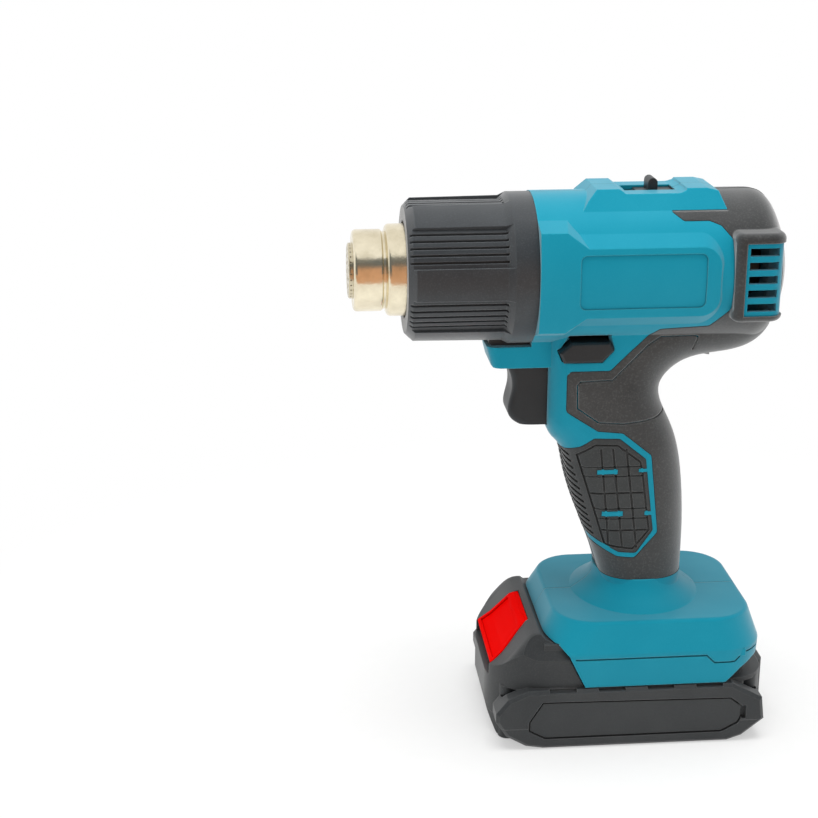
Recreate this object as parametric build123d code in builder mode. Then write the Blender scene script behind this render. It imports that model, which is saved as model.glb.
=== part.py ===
from build123d import *
import os
from math import cos, radians, sin, sqrt

os.makedirs("parts", exist_ok=True)

# Cordless heat gun with a slide-on battery pack.
# Origin: centre of the battery's underside, on the surface the gun stands on.
# +X is the way the hot air leaves, +Y is the operator's left, +Z is up.

# ------------------------------------------------------------------ driving dimensions (mm)
# air path
barrel_z = 192.5          # height of the barrel's axis
barrel_r = 30.0
barrel_front = 41.0       # front face of the clamshell housing
barrel_rear = -59.5       # rear end of the domed cap
dome_start = -44.0        # where the dome begins to fall

# walls and clearances
wall = 2.8                # hard housing
skin = 1.5                # soft over-moulding, let into the housing
fit = 0.3                 # gap round anything that moves
close_fit = 0.1           # gap round a piece that only seats

# side pads of the barrel
pad_y = 31.0              # pad face, from the middle plane
pad_half = 12.5           # half height of the pad
pad_nose_half = 18.5      # half height of its wide front end
pad_rear = -28.0
pad_step = 22.0           # where the pad begins to widen towards the front
pad_crown = 75.0          # radius of the pad's gentle crown
pad_slope = 38.0          # slope of the pad's edge band, degrees
nose_slope = 20.0         # the same at its wide front end
panel_long, panel_high, panel_x = 48.5, 21.0, 1.5
panel_deep = 0.7

# selector hump on top
hump_front, hump_rear = 20.7, -34.0
hump_top = 225.0
hump_saddle = 223.3
saddle_front, saddle_rear = 5.8, -14.5
hump_half = 10.7          # half width at the top
hump_flare = 17.0         # half width at the barrel
slot_front, slot_rear, slot_half = 5.0, -14.9, 5.2
selector_travel = 3.5     # each way from the middle position
plate_front, plate_rear = -0.3, -19.0
plate_sunk = 0.8          # depth of the sliding plate below the saddle
knob_x, knob_half, knob_thick, knob_top = -6.4, 3.8, 3.7, 227.6

# handle
handle_half = 18.5        # half thickness
handle_rear_round = 14.0
handle_front_round = 12.0
handle_foot_z = 65.0      # joint of the soft handle and the hard foot
web_round = 10.0          # concave blend between barrel and handle
web_taper_x = -5.0        # where the blend begins to narrow towards the tail
web_taper_long, web_taper_in = 26.0, 9.0

# trigger and lock-off button
trigger_half = 8.5
trigger_top, trigger_bottom = 154.4, 129.7
trigger_z = (trigger_top + trigger_bottom) / 2
trigger_mouth = 33.6      # front plane of the housing round the trigger
mouth_round = 9.0         # rounding of the handle beside the trigger
nose_front, nose_half = 56.5, 12.5
nose_top, nose_bottom = 163.3, trigger_top + fit
lock_x, lock_z = 20.4, 162.6
lock_long, lock_high = 21.4, 8.2
lock_half = 21.0          # half length of the cross bolt

# channels of the soft pads and of the foot
groove_deep = 0.7
tile_gap = 0.9
rib_count, rib_pitch, rib_angle = 14, 2.85, 28.0

# front sleeve
sleeve_front = 90.4
sleeve_r = 28.0
sleeve_nose_r = 25.0
sleeve_flange_r = 29.7
sleeve_flange_x = 50.0
sleeve_bore = 23.4
sleeve_mouth = 19.0
land_count = 6
band_arc = 34.0           # each ribbed recess, degrees
band_deep = 1.2
slots_per_band = 5
slot_pitch_arc = 6.0
slot_wide, slot_deep = 1.0, 1.1

# outlet
tube_r = 18.0             # rear section
spout_r = 16.0            # front section, takes the push-on nozzles
spout_step = 98.5
spout_tip = 110.4
spout_lip = 11.6          # opening of the rolled rim
sheet = 0.8
tube_rear = 33.0
guard_r = 10.9
guard_tip = 112.2
liner_gap = 0.1
liner_sheet = 0.7

# vents at the rear
vent_y = 33.0
vent_front, vent_corner = -33.0, 6.0
vent_rear = -53.2
vent_root = 17.5          # inner limit of the openings, from the middle plane
vent_high, vent_z = 34.5, 193.8
window_high, window_z, window_front = 28.4, 193.2, -37.0
vent_slots, vent_pitch = 5, 5.4
vent_slot_long, vent_slot_high = 11.4, 3.1

# foot
foot_z, ridge_z, foot_low = 41.0, 54.0, 26.5
foot_front, foot_rear, foot_half = 38.0, -54.5, 38.0
ridge_front, ridge_rear, ridge_half = 31.0, -50.0, 35.0
foot_round = 17.0

# battery pack
pack_front, pack_rear, pack_half = 58.0, -57.0, 33.5
block_half = 35.6         # half width of the front block
block_round = 8.0
block_top = 47.0
pack_seam = 9.5
pack_shoulder = 26.0
bar_y = 39.0
bar_front, bar_rear = 56.0, -55.0
tower_top, tower_half = 44.0, 33.0
rail_z, rail_high, rail_in = 37.5, 3.0, 28.0
case_wall = 2.2
button_travel = 4.0
button_low, button_high, button_half = 30.2, 46.4, 20.2
cell_r, cell_long, cell_count = 9.2, 65.0, 5

# electrics and drive
duct_r, duct_wall = 23.6, 1.2
duct_rear = -20.0
fan_r, hub_r = 21.6, 7.5
fan_front, fan_rear = -6.0, -16.0
blade_count = 7
motor_r, motor_long = 12.2, 27.0
motor_front = -22.0
shaft_r = 1.15
switch_front, switch_rear, switch_half = 20.5, -8.0, 8.0
board_thick = 1.6
blade_y, blade_thick = 9.0, 0.8


def middle_split(solid, side):
    """The half of a solid on the operator's left (side 1) or right (side -1)."""
    with BuildPart() as half:
        add(solid)
        split(bisect_by=Plane.XZ, keep=Keep.BOTTOM if side > 0 else Keep.TOP)
    return half.part


def barrel_form(inset):
    """Barrel with its domed rear end, shrunk by inset."""
    with BuildPart() as form:
        with BuildSketch(Plane.XZ):
            with BuildLine():
                r = barrel_r - inset
                top = Polyline((barrel_rear + inset, barrel_z), (barrel_front, barrel_z),
                               (barrel_front, barrel_z + r), (dome_start, barrel_z + r))
                Spline(top @ 1, (dome_start - 11 + 0.8 * inset, barrel_z + r - 8.5), top @ 0,
                       tangents=((-1, 0), (0, -1)))
            make_face()
        revolve(axis=Axis((0, 0, barrel_z), (1, 0, 0)))
    return form.part


def mouth_edges(edges, inset):
    """The two upright front corners beside the trigger."""
    front = trigger_mouth - inset
    return edges.filter_by(lambda edge: abs(edge.center().X - front) < 0.01 and abs(edge.center().Y) > 13)


def handle_form(inset):
    """Handle slab with its tail under the barrel and its trigger nose."""
    half = handle_half - inset
    rear_shift, front_shift = inset, -inset
    with BuildPart() as form:
        with BuildSketch(Plane.XZ):
            with BuildLine():
                rear = Spline((-54 + rear_shift, 167 + inset), (-38 + rear_shift, 158.3 + inset),
                              (-20 + rear_shift, 154.3 + inset), (-12.3 + rear_shift, 146),
                              (-17.5 + rear_shift, 128.3), (-22.8 + rear_shift, 107.5),
                              (-24.5 + rear_shift, 85), (-24.2 + rear_shift, 50))
                front = Spline((8.2 + front_shift, 50), (9.5 + front_shift, 64), (18.9 + front_shift, 90),
                               (24.4 + front_shift, 108), (27.5 + front_shift, 119.5),
                               (trigger_mouth + front_shift, 126))
                Line(rear @ 1, front @ 0)
                Polyline(front @ 1, (trigger_mouth + front_shift, 180), (-30, 180), (-54 + rear_shift, 173.5), rear @ 0)
            make_face()
        extrude(amount=half, both=True)
        curved = form.edges().filter_by(GeomType.BSPLINE)
        fillet([edge for edge in curved if edge.length > 110], handle_rear_round - inset)
        curved = form.edges().filter_by(GeomType.BSPLINE)
        fillet([edge for edge in curved if 70 < edge.length < 100 and edge.center().X > 0],
               handle_front_round - inset)
        fillet(mouth_edges(form.edges().filter_by(Axis.Z), inset), mouth_round - inset)
    return form.part


def web_profile(half, radius):
    """Half-round top with concave blends running down into a slab of the given half thickness."""
    reach = radius + web_round
    drop = sqrt(reach ** 2 - (half + web_round) ** 2)
    touch = ((half + web_round) * radius / reach, barrel_z - drop * radius / reach)
    with BuildLine() as outline:
        Polyline((half, barrel_z - drop), (half, 159), (-half, 159), (-half, barrel_z - drop))
        RadiusArc((half, barrel_z - drop), touch, web_round)
        Polyline(touch, (0, barrel_z), (-touch[0], touch[1]))
        RadiusArc((-touch[0], touch[1]), (-half, barrel_z - drop), web_round)
    return outline.line


def web_form(inset):
    """Concave blend that carries the handle up into the barrel and narrows towards the tail."""
    radius = barrel_r - inset
    half = handle_half - inset
    section, tail_section = web_profile(half, radius), web_profile(half - web_taper_in, radius)
    with BuildPart() as form:
        with BuildSketch(Plane.YZ.offset(web_taper_x)):
            make_face(section.edges())
        extrude(amount=trigger_mouth - inset - web_taper_x)
        with BuildSketch(Plane.YZ.offset(web_taper_x)):
            make_face(section.edges())
        with BuildSketch(Plane.YZ.offset(web_taper_x - web_taper_long)):
            make_face(tail_section.edges())
        loft()
        fillet(mouth_edges(form.edges(), inset), mouth_round - inset)
    return form.part


def nose_form():
    """Nose over the trigger, under the front sleeve."""
    with BuildPart() as form:
        with BuildSketch(Plane.XZ):
            with BuildLine():
                Polyline((20, nose_bottom), (nose_front - 0.8, nose_bottom), (nose_front, nose_bottom + 0.8),
                         (nose_front + 2, nose_top), (barrel_front, nose_top), (barrel_front, 172), (20, 172),
                         close=True)
            make_face()
        extrude(amount=nose_half, both=True)
        front = form.edges().filter_by(lambda e: e.center().X > nose_front and abs(e.center().Y) > nose_half - 0.1)
        fillet([edge for edge in front if edge.length > nose_top - nose_bottom - 1.5], 4)
        # seat of the sleeve's flange
        with BuildSketch(Plane.YZ.offset(barrel_front)):
            with Locations((0, barrel_z)):
                Circle(sleeve_flange_r + close_fit)
        extrude(amount=nose_front - barrel_front + 10, mode=Mode.SUBTRACT)
    return form.part


def pad_form():
    """Raised side pads: faceted, gently crowned panels with sloping edge bands."""
    with BuildPart() as form:
        with BuildSketch(Plane.XZ.offset(-pad_y)):
            with BuildLine():
                Polyline((barrel_front + 20, barrel_z + pad_nose_half), (pad_step + 9, barrel_z + pad_nose_half),
                         (pad_step, barrel_z + pad_half), (pad_step - 8, barrel_z + pad_half),
                         (pad_step - 8, barrel_z - pad_half), (pad_step, barrel_z - pad_half),
                         (pad_step + 9, barrel_z - pad_nose_half), (barrel_front + 20, barrel_z - pad_nose_half),
                         close=True)
            make_face()
        extrude(amount=14, taper=-nose_slope)
        with BuildSketch(Plane.XZ.offset(-pad_y)) as outline:
            with Locations(((pad_rear + pad_step) / 2 + 1, barrel_z)):
                Rectangle(pad_step - pad_rear + 2, 2 * pad_half)
            fillet(outline.vertices().group_by(Axis.X)[0], 7)
        extrude(amount=12, taper=-pad_slope)
        split(bisect_by=Plane.YZ.offset(barrel_front), keep=Keep.BOTTOM)
        with BuildSketch(Plane.YZ.offset(-70)):
            with Locations((pad_y - pad_crown, barrel_z)):
                Circle(pad_crown)
        extrude(amount=140, mode=Mode.INTERSECT)
        mirror(about=Plane.XZ)
    return form.part


def panel_recess():
    """Shallow rectangular recess of the side pad, following its crown."""
    with BuildPart() as form:
        with BuildSketch(Plane.XZ.offset(-pad_y - 2)):
            with Locations((panel_x, barrel_z + 0.5)):
                RectangleRounded(panel_long, panel_high, 2.5)
        extrude(amount=8)
        with BuildSketch(Plane.YZ.offset(-70)):
            with Locations((pad_y - pad_crown, barrel_z)):
                Circle(pad_crown - panel_deep)
        extrude(amount=140, mode=Mode.SUBTRACT)
        mirror(about=Plane.XZ)
    return form.part


def hump_form(inset):
    """Selector hump: two end blocks with a saddle between them, flaring down to the barrel."""
    with BuildPart() as form:
        with BuildSketch(Plane.XZ):
            with BuildLine():
                saddle = Polyline((hump_front + 6 - inset, barrel_z + 20), (hump_front - inset, 221 - inset),
                                  (hump_front - 3.7 - inset, hump_top - inset), (8.1 + inset, hump_top - inset),
                                  (saddle_front + inset, hump_saddle - inset), (saddle_rear, hump_saddle - inset))
                rise = Spline(saddle @ 1, (saddle_rear - 2.4, hump_saddle + 0.6 - inset),
                              (saddle_rear - 3.5, hump_top - inset), tangents=((-1, 0), (0, 1)))
                Polyline(rise @ 1, (hump_rear + 8 + inset, hump_top - inset),
                         (hump_rear + 3.8 + inset, hump_top - 1 - inset), (hump_rear + 1.2 + inset, 217.5 - inset),
                         (hump_rear - 2 + inset, barrel_z + 20), saddle @ 0)
            make_face()
        extrude(amount=30, both=True)
        with BuildSketch(Plane.YZ.offset(-60)):
            with BuildLine():
                Polyline((hump_half - inset, hump_top + 1), (hump_flare - inset, 217), (hump_flare + 2 - inset, 212),
                         (-hump_flare - 2 + inset, 212), (-hump_flare + inset, 217), (-hump_half + inset, hump_top + 1),
                         close=True)
            make_face()
        extrude(amount=120, mode=Mode.INTERSECT)
    return form.part


def foot_form(inset):
    """Battery foot: slanting skirt below a widest line, sloping shoulders and a flat ridged top."""
    low = foot_low - 3 * inset
    levels = ((low, foot_front - 0.5, foot_rear + 0.5, foot_half - 0.5),
              (foot_z, foot_front, foot_rear, foot_half),
              (ridge_z - inset, ridge_front, ridge_rear, ridge_half))
    with BuildPart() as form:
        for first, second in zip(levels, levels[1:]):
            for z, front, rear, half in (first, second):
                with BuildSketch(Plane.XY.offset(z)):
                    with Locations(((front + rear) / 2, 0)):
                        RectangleRounded(front - rear - 2 * inset, 2 * (half - inset), foot_round - inset)
            loft()
    return form.part


def foot_outer():
    """Outside of the battery foot, with its edges softened."""
    with BuildPart() as form:
        add(foot_form(0))
        for level, softness in ((ridge_z, 1.6), (foot_z, 2.0)):
            fillet(form.edges().filter_by(lambda edge: abs(edge.center().Z - level) < 0.01), softness)
    return form.part


def foot_collar():
    """Concave collar between the flat top of the foot and the handle."""
    with BuildPart() as form:
        for z, half_x, half_y in ((ridge_z - 1, 27.5, 30.0), (56.5, 23.0, 25.5), (60, 19.0, 21.3),
                                  (handle_foot_z, 17.4, 19.3)):
            with BuildSketch(Plane.XY.offset(z)):
                with Locations((-6.5, 0)):
                    Ellipse(half_x, half_y)
        loft()
    return form.part


def grip_prism():
    """Side-view region of the soft rear cap and handle back, cut right through."""
    with BuildPart() as form:
        with BuildSketch(Plane.XZ) as region:
            with BuildLine():
                Polyline((-11.4, 240), (-11.4, 217), (-15.2, 214.2), (-24.9, 214.2), (-29.3, 212.6), (-33.3, 208),
                         (-33.6, 181), (-26.5, 173.2), (-7.7, 172.1), (3.2, 161.7), (10.5, 154.4),
                         (27.4, 154.4), (27.4, 138), (14.5, 129.6), (4.4, 128.5), (-7.6, 118.8),
                         (-11.5, 85.5), (-2.4, 74.6), (5, 75.2), (14, 79.8), (30, 88), (30, handle_foot_z),
                         (-75, handle_foot_z), (-75, 240), close=True)
            make_face()
            corners = region.vertices().filter_by_position(Axis.X, -35, 28).filter_by_position(Axis.Y, 74, 216)
            fillet(corners, 2.2)
        extrude(amount=60, both=True)
    return form.part


def pad_prism():
    """Side-view region of the ribbed and tiled finger pads, inside the hard belt."""
    with BuildPart() as form:
        with BuildSketch(Plane.XZ) as region:
            with BuildLine():
                Polyline((40, 120.4), (26.5, 120.8), (21.3, 122.8), (16, 126.4), (5.6, 126), (-5.2, 117.2),
                         (-9.3, 86.6), (-2.8, 76.9), (4.2, 77.4), (13, 81.8), (40, 95), close=True)
            make_face()
            fillet(region.vertices().filter_by_position(Axis.X, -12, 17), 1.5)
        extrude(amount=60, both=True)
    return form.part


def pad_bars():
    """Hard bars and tabs that cross the finger pads."""
    with BuildPart() as form:
        with BuildSketch(Plane.XZ):
            for x, z, long, high in ((10.1, 112.2, 8.6, 2.2), (7.4, 94.1, 8.8, 2.4), (-5.0, 112.5, 5.0, 1.7),
                                     (-8.2, 94.0, 5.2, 1.9)):
                with Locations((x, z)):
                    Rectangle(long, high)
        extrude(amount=60, both=True)
    return form.part


def tile_grooves():
    """Channels between the tiles of the finger pads, and the finger ribs in front of them."""
    with BuildPart() as form:
        with BuildSketch(Plane.XZ):
            with BuildLine():
                Polyline((22.2, 119.2), (9.6, 80.2), (-1.5, 78.7), (-7.8, 86.7), (-4.1, 111.9), (-3.2, 116),
                         (6.4, 123.3), (15.5, 123.7), (20.5, 120.5), close=True)
            trace(line_width=tile_gap)
            for x, lean in ((11.8, 0.115), (6.8, 0.125), (1.3, 0.134)):
                with BuildLine():
                    Line((x - 32 * lean, 79), (x + 11 * lean, 122))
                trace(line_width=tile_gap)
            with BuildLine():
                Line((-5.5, 103), (17.0, 103))
            trace(line_width=tile_gap)
            with BuildLine():
                Line((-7.8, 86.8), (11.7, 86.8))
            trace(line_width=tile_gap)
            for rib in range(rib_count):
                z = 81 + rib * rib_pitch
                with Locations(Location((12.4 + 0.323 * (z - 80), z), rib_angle)):
                    Rectangle(30, tile_gap, align=(Align.MIN, Align.CENTER))
        extrude(amount=60, both=True)
        add(handle_form(groove_deep), mode=Mode.SUBTRACT)
    return form.part


def grip_groove():
    """Channel that frames the soft grip beside the trigger."""
    with BuildPart() as form:
        with BuildSketch(Plane.XZ):
            with BuildLine():
                Polyline((-22.4, 161.7), (-23.9, 167.5), (-22.4, 168), (-9, 167.9), (-4.2, 164.7), (9.4, 150.5),
                         (22.2, 150.1), (23.3, 148.7), (23, 139.1), (14.5, 133), (4.4, 132.2), (-9.2, 133.7),
                         (-16.5, 136))
            trace(line_width=groove_deep)
        extrude(amount=60, both=True)
        add([handle_form(groove_deep), web_form(groove_deep), barrel_form(groove_deep)], mode=Mode.SUBTRACT)
    return form.part


def foot_groove():
    """Shallow channel along the sides of the foot, with a dip towards the rear."""
    with BuildPart() as form:
        with BuildSketch(Plane.XZ):
            with BuildLine():
                Polyline((-60, 39), (-45, 39), (-41.5, 35.6), (-33, 35.6), (-29.5, 39), (24, 39))
            trace(line_width=groove_deep)
        extrude(amount=60, both=True)
        add(foot_form(groove_deep), mode=Mode.SUBTRACT)
    return form.part


def vent_pods():
    """Rounded pods at the rear sides that frame the air intakes."""
    low = vent_z - vent_high / 2
    with BuildPart() as form:
        with BuildSketch(Plane.XY.offset(low)) as plan:
            with BuildLine():
                Polyline((vent_front, 20), (vent_front, vent_y), (vent_rear, vent_y), (vent_rear, 12), (-45, 12),
                         close=True)
            make_face()
            fillet(plan.vertices().sort_by_distance((vent_rear, vent_y, low))[0], vent_corner)
            fillet(plan.vertices().sort_by_distance((vent_front, vent_y, low))[0], 4)
        extrude(amount=vent_high)
        rims = form.edges().group_by(Axis.Z)
        fillet(rims[0] + rims[-1], 2.5)
        mirror(about=Plane.XZ)
    return form.part


def vent_windows():
    """Air openings through the pods and the barrel wall behind them."""
    with BuildPart() as form:
        with Locations(((window_front + vent_rear - 0.5) / 2, vent_root + 20, window_z)):
            Box(window_front - vent_rear + 0.5, 40, window_high)
        mirror(about=Plane.XZ)
    return form.part


def grille_form():
    """Slotted grille that follows the pod's outline, set a little below its rim (left side)."""
    low = window_z - window_high / 2
    outer, inner = 0.8, 3.0
    with BuildPart() as form:
        with BuildSketch(Plane.XY.offset(low)):
            for inset, mode in ((outer, Mode.ADD), (inner, Mode.SUBTRACT)):
                with BuildSketch(Plane.XY, mode=mode) as plan:
                    with BuildLine():
                        Polyline((window_front, 10), (window_front, vent_y - inset),
                                 (vent_rear + inset, vent_y - inset), (vent_rear + inset, 10), close=True)
                    make_face()
                    fillet(plan.vertices().sort_by_distance((vent_rear, vent_y, 0))[0], vent_corner - inset)
        extrude(amount=window_high)
        with Locations((window_front - 30, vent_root + 20, window_z)):
            Box(60, 40, window_high, mode=Mode.INTERSECT)
        with Locations(Plane.XZ.offset(-vent_y)):
            with Locations((window_front - 1.4 - vent_slot_long / 2, window_z)):
                with GridLocations(1, vent_pitch, 1, vent_slots):
                    Box(vent_slot_long, vent_slot_high, 12, mode=Mode.SUBTRACT)
    return form.part


def lock_outline(grow, z_up=0):
    """Six-sided outline of the lock-off button in the side plane."""
    a, b = lock_long / 2 + grow, lock_high / 2 + grow
    x = lock_x
    return Polyline((x + a, lock_z), (x + a - 4.6, lock_z + b + z_up), (x - a + 1.8, lock_z + b + z_up),
                    (x - a, lock_z + 0.5), (x - a + 4.6, lock_z - b), (x + a - 1.8, lock_z - b), close=True)


def finish(builder, name):
    """Label a finished sub-part and write it."""
    builder.part.label = name
    export_step(builder.part, f"parts/{name}.step")


def write(solid, name):
    with BuildPart() as piece:
        add(solid)
    finish(piece, name)


# ------------------------------------------------------------------ shared forms
hump = hump_form(0)
foot = foot_outer()
hard_forms = [barrel_form(0), handle_form(0), web_form(0), nose_form(), pad_form(), hump, foot,
              foot_collar()]
core_forms = [barrel_form(skin), handle_form(skin), web_form(skin)]
hollow_forms = [barrel_form(wall), handle_form(wall), web_form(wall), foot_form(wall), hump_form(1.9)]
pods, windows = vent_pods(), vent_windows()
grip_region, pad_region = grip_prism(), pad_prism()
recess = panel_recess()

with BuildPart() as outer:
    add(hard_forms)
    add(recess, mode=Mode.SUBTRACT)

with BuildPart() as core:
    add(core_forms)

with BuildPart() as hollow:
    add(hollow_forms)

# soft over-moulding: rear cap, vent bezels, handle back
with BuildPart() as soft_grip:
    add(outer.part)
    add(pods)
    add(grip_region, mode=Mode.INTERSECT)
    add([core.part, hump, windows], mode=Mode.SUBTRACT)

with BuildPart() as pad_bed:
    add(outer.part)
    add(pad_region, mode=Mode.INTERSECT)
    add([core.part, pad_bars()], mode=Mode.SUBTRACT)

# ------------------------------------------------------------------ clamshell housing
screw_places = ((49.0, (nose_top + nose_bottom) / 2, nose_half), (16.0, 114.0, 17.0), (-12.0, 72.0, 17.5),
                (-36.0, 164.6, 12.0), (-29.5, 216.4, 15.5), (-5.0, 157.0, 18.0))
screw_r, screw_head_r, screw_long = 1.5, 2.8, 20.0

with BuildPart() as screws:
    for x, z, side in screw_places:
        with BuildSketch(Plane.XZ.offset(side - 2)):
            with Locations((x, z)):
                Circle(screw_head_r)
        extrude(amount=-2)
        with BuildSketch(Plane.XZ.offset(side - 4)):
            with Locations((x, z)):
                Circle(screw_r)
        extrude(amount=-screw_long)

with BuildPart() as screw_wells:
    for x, z, side in screw_places:
        with BuildSketch(Plane.XZ.offset(side - 2)):
            with Locations((x, z)):
                Circle(screw_head_r + close_fit)
        extrude(amount=30)

with BuildPart() as bosses:
    for x, z, side in screw_places:
        with BuildSketch(Plane.XZ.offset(side - 1)):
            with Locations((x, z)):
                Circle(screw_head_r + 1.4)
        extrude(amount=2 - 2 * side)
    # cradle ribs that hold the trigger switch, and a post for the control board
    for side in (1, -1):
        with Locations((2, side * (switch_half + handle_half - 1) / 2, trigger_z)):
            Box(2.4, handle_half - 1 - switch_half, 20)
    with BuildSketch(Plane.XZ.offset(-board_thick / 2)):
        with Locations((-10, 90), (-4, 118)):
            Circle(2.2)
    extrude(amount=-(handle_half - 1 - board_thick / 2))
    add(core.part, mode=Mode.INTERSECT)

with BuildPart() as openings:
    # mouth of the trigger
    with Locations(((trigger_mouth + 26) / 2, 0, trigger_z)):
        Box(trigger_mouth - 26 + 12, 2 * (trigger_half + fit), trigger_top - trigger_bottom + 2 * fit)
    # passage of the lock-off button, with a bevelled six-sided recess on the left
    with BuildSketch(Plane.XZ):
        with BuildLine():
            lock_outline(fit)
        make_face()
    extrude(amount=40, both=True)
    with BuildSketch(Plane.XZ.offset(-handle_half - 0.5)):
        with BuildLine():
            lock_outline(0.8, 2.2)
        make_face()
    extrude(amount=3.5, taper=20)
    # slot of the selector
    with Locations(((slot_front + slot_rear) / 2, 0, hump_saddle)):
        Box(slot_front - slot_rear, 2 * slot_half, 8)
    # room for its plate, under the rear block
    with Locations(((slot_front + plate_rear) / 2, 0, hump_saddle - 4)):
        Box(slot_front - plate_rear + 2 * (selector_travel + fit), 2 * slot_half, 8 - 2 * (plate_sunk - fit))

# lower edge of the foot: raised at the front and at the rear corners
with BuildPart() as foot_cut:
    with BuildSketch(Plane.XZ):
        with BuildLine():
            Polyline((70, 47.5), (foot_front - 0.3, 47.5), (35.2, 45.7), (29.9, 43.7), (26.5, 40.4),
                     (19.7, foot_low), (19.7, 0), (70, 0), close=True)
        make_face()
        with BuildLine():
            Polyline((-80, 36.5), (-50, 35), (-44, 32), (-38, foot_low), (-38, 0), (-80, 0), close=True)
        make_face()
    extrude(amount=60, both=True)
    # way out for the battery's tower
    with Locations((foot_front, 0, tower_top + fit - 20)):
        Box(40, 2 * (tower_half + fit), 40)

# rails that carry the battery pack
with BuildPart() as rails:
    for side in (1, -1):
        with Locations((-14, side * (rail_in + foot_half - 1.5) / 2, rail_z + rail_high / 2)):
            Box(64, foot_half - 1.5 - rail_in, rail_high)

with BuildPart() as housing:
    add(outer.part)
    add([soft_grip.part, pad_bed.part, hollow.part, windows, foot_cut.part, foot_groove()], mode=Mode.SUBTRACT)
    add([bosses.part, rails.part])
    add([openings.part, screws.part, screw_wells.part], mode=Mode.SUBTRACT)

for name, side in (("left", 1), ("right", -1)):
    write(middle_split(housing.part, side), f"housing_{name}")
write(screws.part, "housing_screws")

with BuildPart() as rear_grip_left:
    add(middle_split(soft_grip.part, 1))
    add(grip_groove(), mode=Mode.SUBTRACT)
finish(rear_grip_left, "rear_grip_left")

with BuildPart() as rear_grip_right:
    add(rear_grip_left.part)
    mirror(about=Plane.XZ, mode=Mode.REPLACE)
    add([screws.part, screw_wells.part], mode=Mode.SUBTRACT)
finish(rear_grip_right, "rear_grip_right")

with BuildPart() as finger_pad_left:
    add(middle_split(pad_bed.part, 1))
    add(tile_grooves(), mode=Mode.SUBTRACT)
finish(finger_pad_left, "finger_pad_left")

with BuildPart() as finger_pad_right:
    add(finger_pad_left.part)
    mirror(about=Plane.XZ, mode=Mode.REPLACE)
finish(finger_pad_right, "finger_pad_right")

# ------------------------------------------------------------------ air intake grilles
with BuildPart() as vent_grille_left:
    add(grille_form())
finish(vent_grille_left, "vent_grille_left")

with BuildPart() as vent_grille_right:
    add(vent_grille_left.part)
    mirror(about=Plane.XZ, mode=Mode.REPLACE)
finish(vent_grille_right, "vent_grille_right")

# ------------------------------------------------------------------ front sleeve
spigot_r = barrel_r - wall - close_fit
with BuildPart() as front_sleeve:
    with BuildSketch(Plane.XZ):
        with BuildLine():
            Polyline((sleeve_front, barrel_z + sleeve_mouth), (sleeve_front, barrel_z + sleeve_nose_r),
                     (sleeve_front - 3, barrel_z + sleeve_r), (sleeve_flange_x + 2.7, barrel_z + sleeve_r + 0.4),
                     (sleeve_flange_x, barrel_z + sleeve_flange_r), (barrel_front, barrel_z + sleeve_flange_r),
                     (barrel_front, barrel_z + spigot_r), (barrel_front - 5, barrel_z + spigot_r),
                     (barrel_front - 5, barrel_z + sleeve_bore), (sleeve_front - 4, barrel_z + sleeve_bore),
                     (sleeve_front - 4, barrel_z + sleeve_mouth), close=True)
        make_face()
    revolve(axis=Axis((0, 0, barrel_z), (1, 0, 0)))
    # ribbed recesses between the smooth lands, each with a ramp at its rear end
    band_front, band_rear = sleeve_front - 1.6, sleeve_flange_x + 3
    floor_r = sleeve_r - band_deep
    for band in range(land_count):
        middle = 360 / land_count * (band + 0.5)
        turned = Plane(origin=(0, 0, barrel_z), x_dir=(1, 0, 0),
                       z_dir=(0, cos(radians(middle + 90 - band_arc / 2)), sin(radians(middle + 90 - band_arc / 2))))
        with BuildSketch(turned):
            with BuildLine():
                Polyline((band_front + 3, floor_r - 1.5), (band_front, floor_r), (band_rear, floor_r),
                         (band_rear - 4, sleeve_flange_r + 1), (band_front + 3, sleeve_flange_r + 1), close=True)
            make_face()
        revolve(axis=Axis((0, 0, barrel_z), (1, 0, 0)), revolution_arc=band_arc, mode=Mode.SUBTRACT)
        for slot in range(slots_per_band):
            turn = middle + (slot - (slots_per_band - 1) / 2) * slot_pitch_arc
            radial = Plane(origin=(0, 0, barrel_z), x_dir=(1, 0, 0), z_dir=(0, cos(radians(turn)), sin(radians(turn))))
            with Locations(radial.offset(floor_r)):
                with Locations(((band_front + band_rear) / 2, 0, 0)):
                    Box(band_front - band_rear + 2, slot_wide, 2 * slot_deep, mode=Mode.SUBTRACT)
    # tab under the sleeve, let into the nose of the housing
    with BuildSketch(Plane.XZ):
        with BuildLine():
            Polyline((barrel_front, nose_top), (barrel_front + 15.5, nose_top), (barrel_front + 16.5, nose_top + 1.2),
                     (barrel_front + 16.5, nose_top + 4), (barrel_front, nose_top + 4), close=True)
        make_face()
    extrude(amount=9, both=True)
    with BuildSketch(Plane.YZ.offset(barrel_front - 6)):
        with Locations((0, barrel_z)):
            Circle(sleeve_bore)
    extrude(amount=40, mode=Mode.SUBTRACT)
finish(front_sleeve, "front_sleeve")

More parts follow.
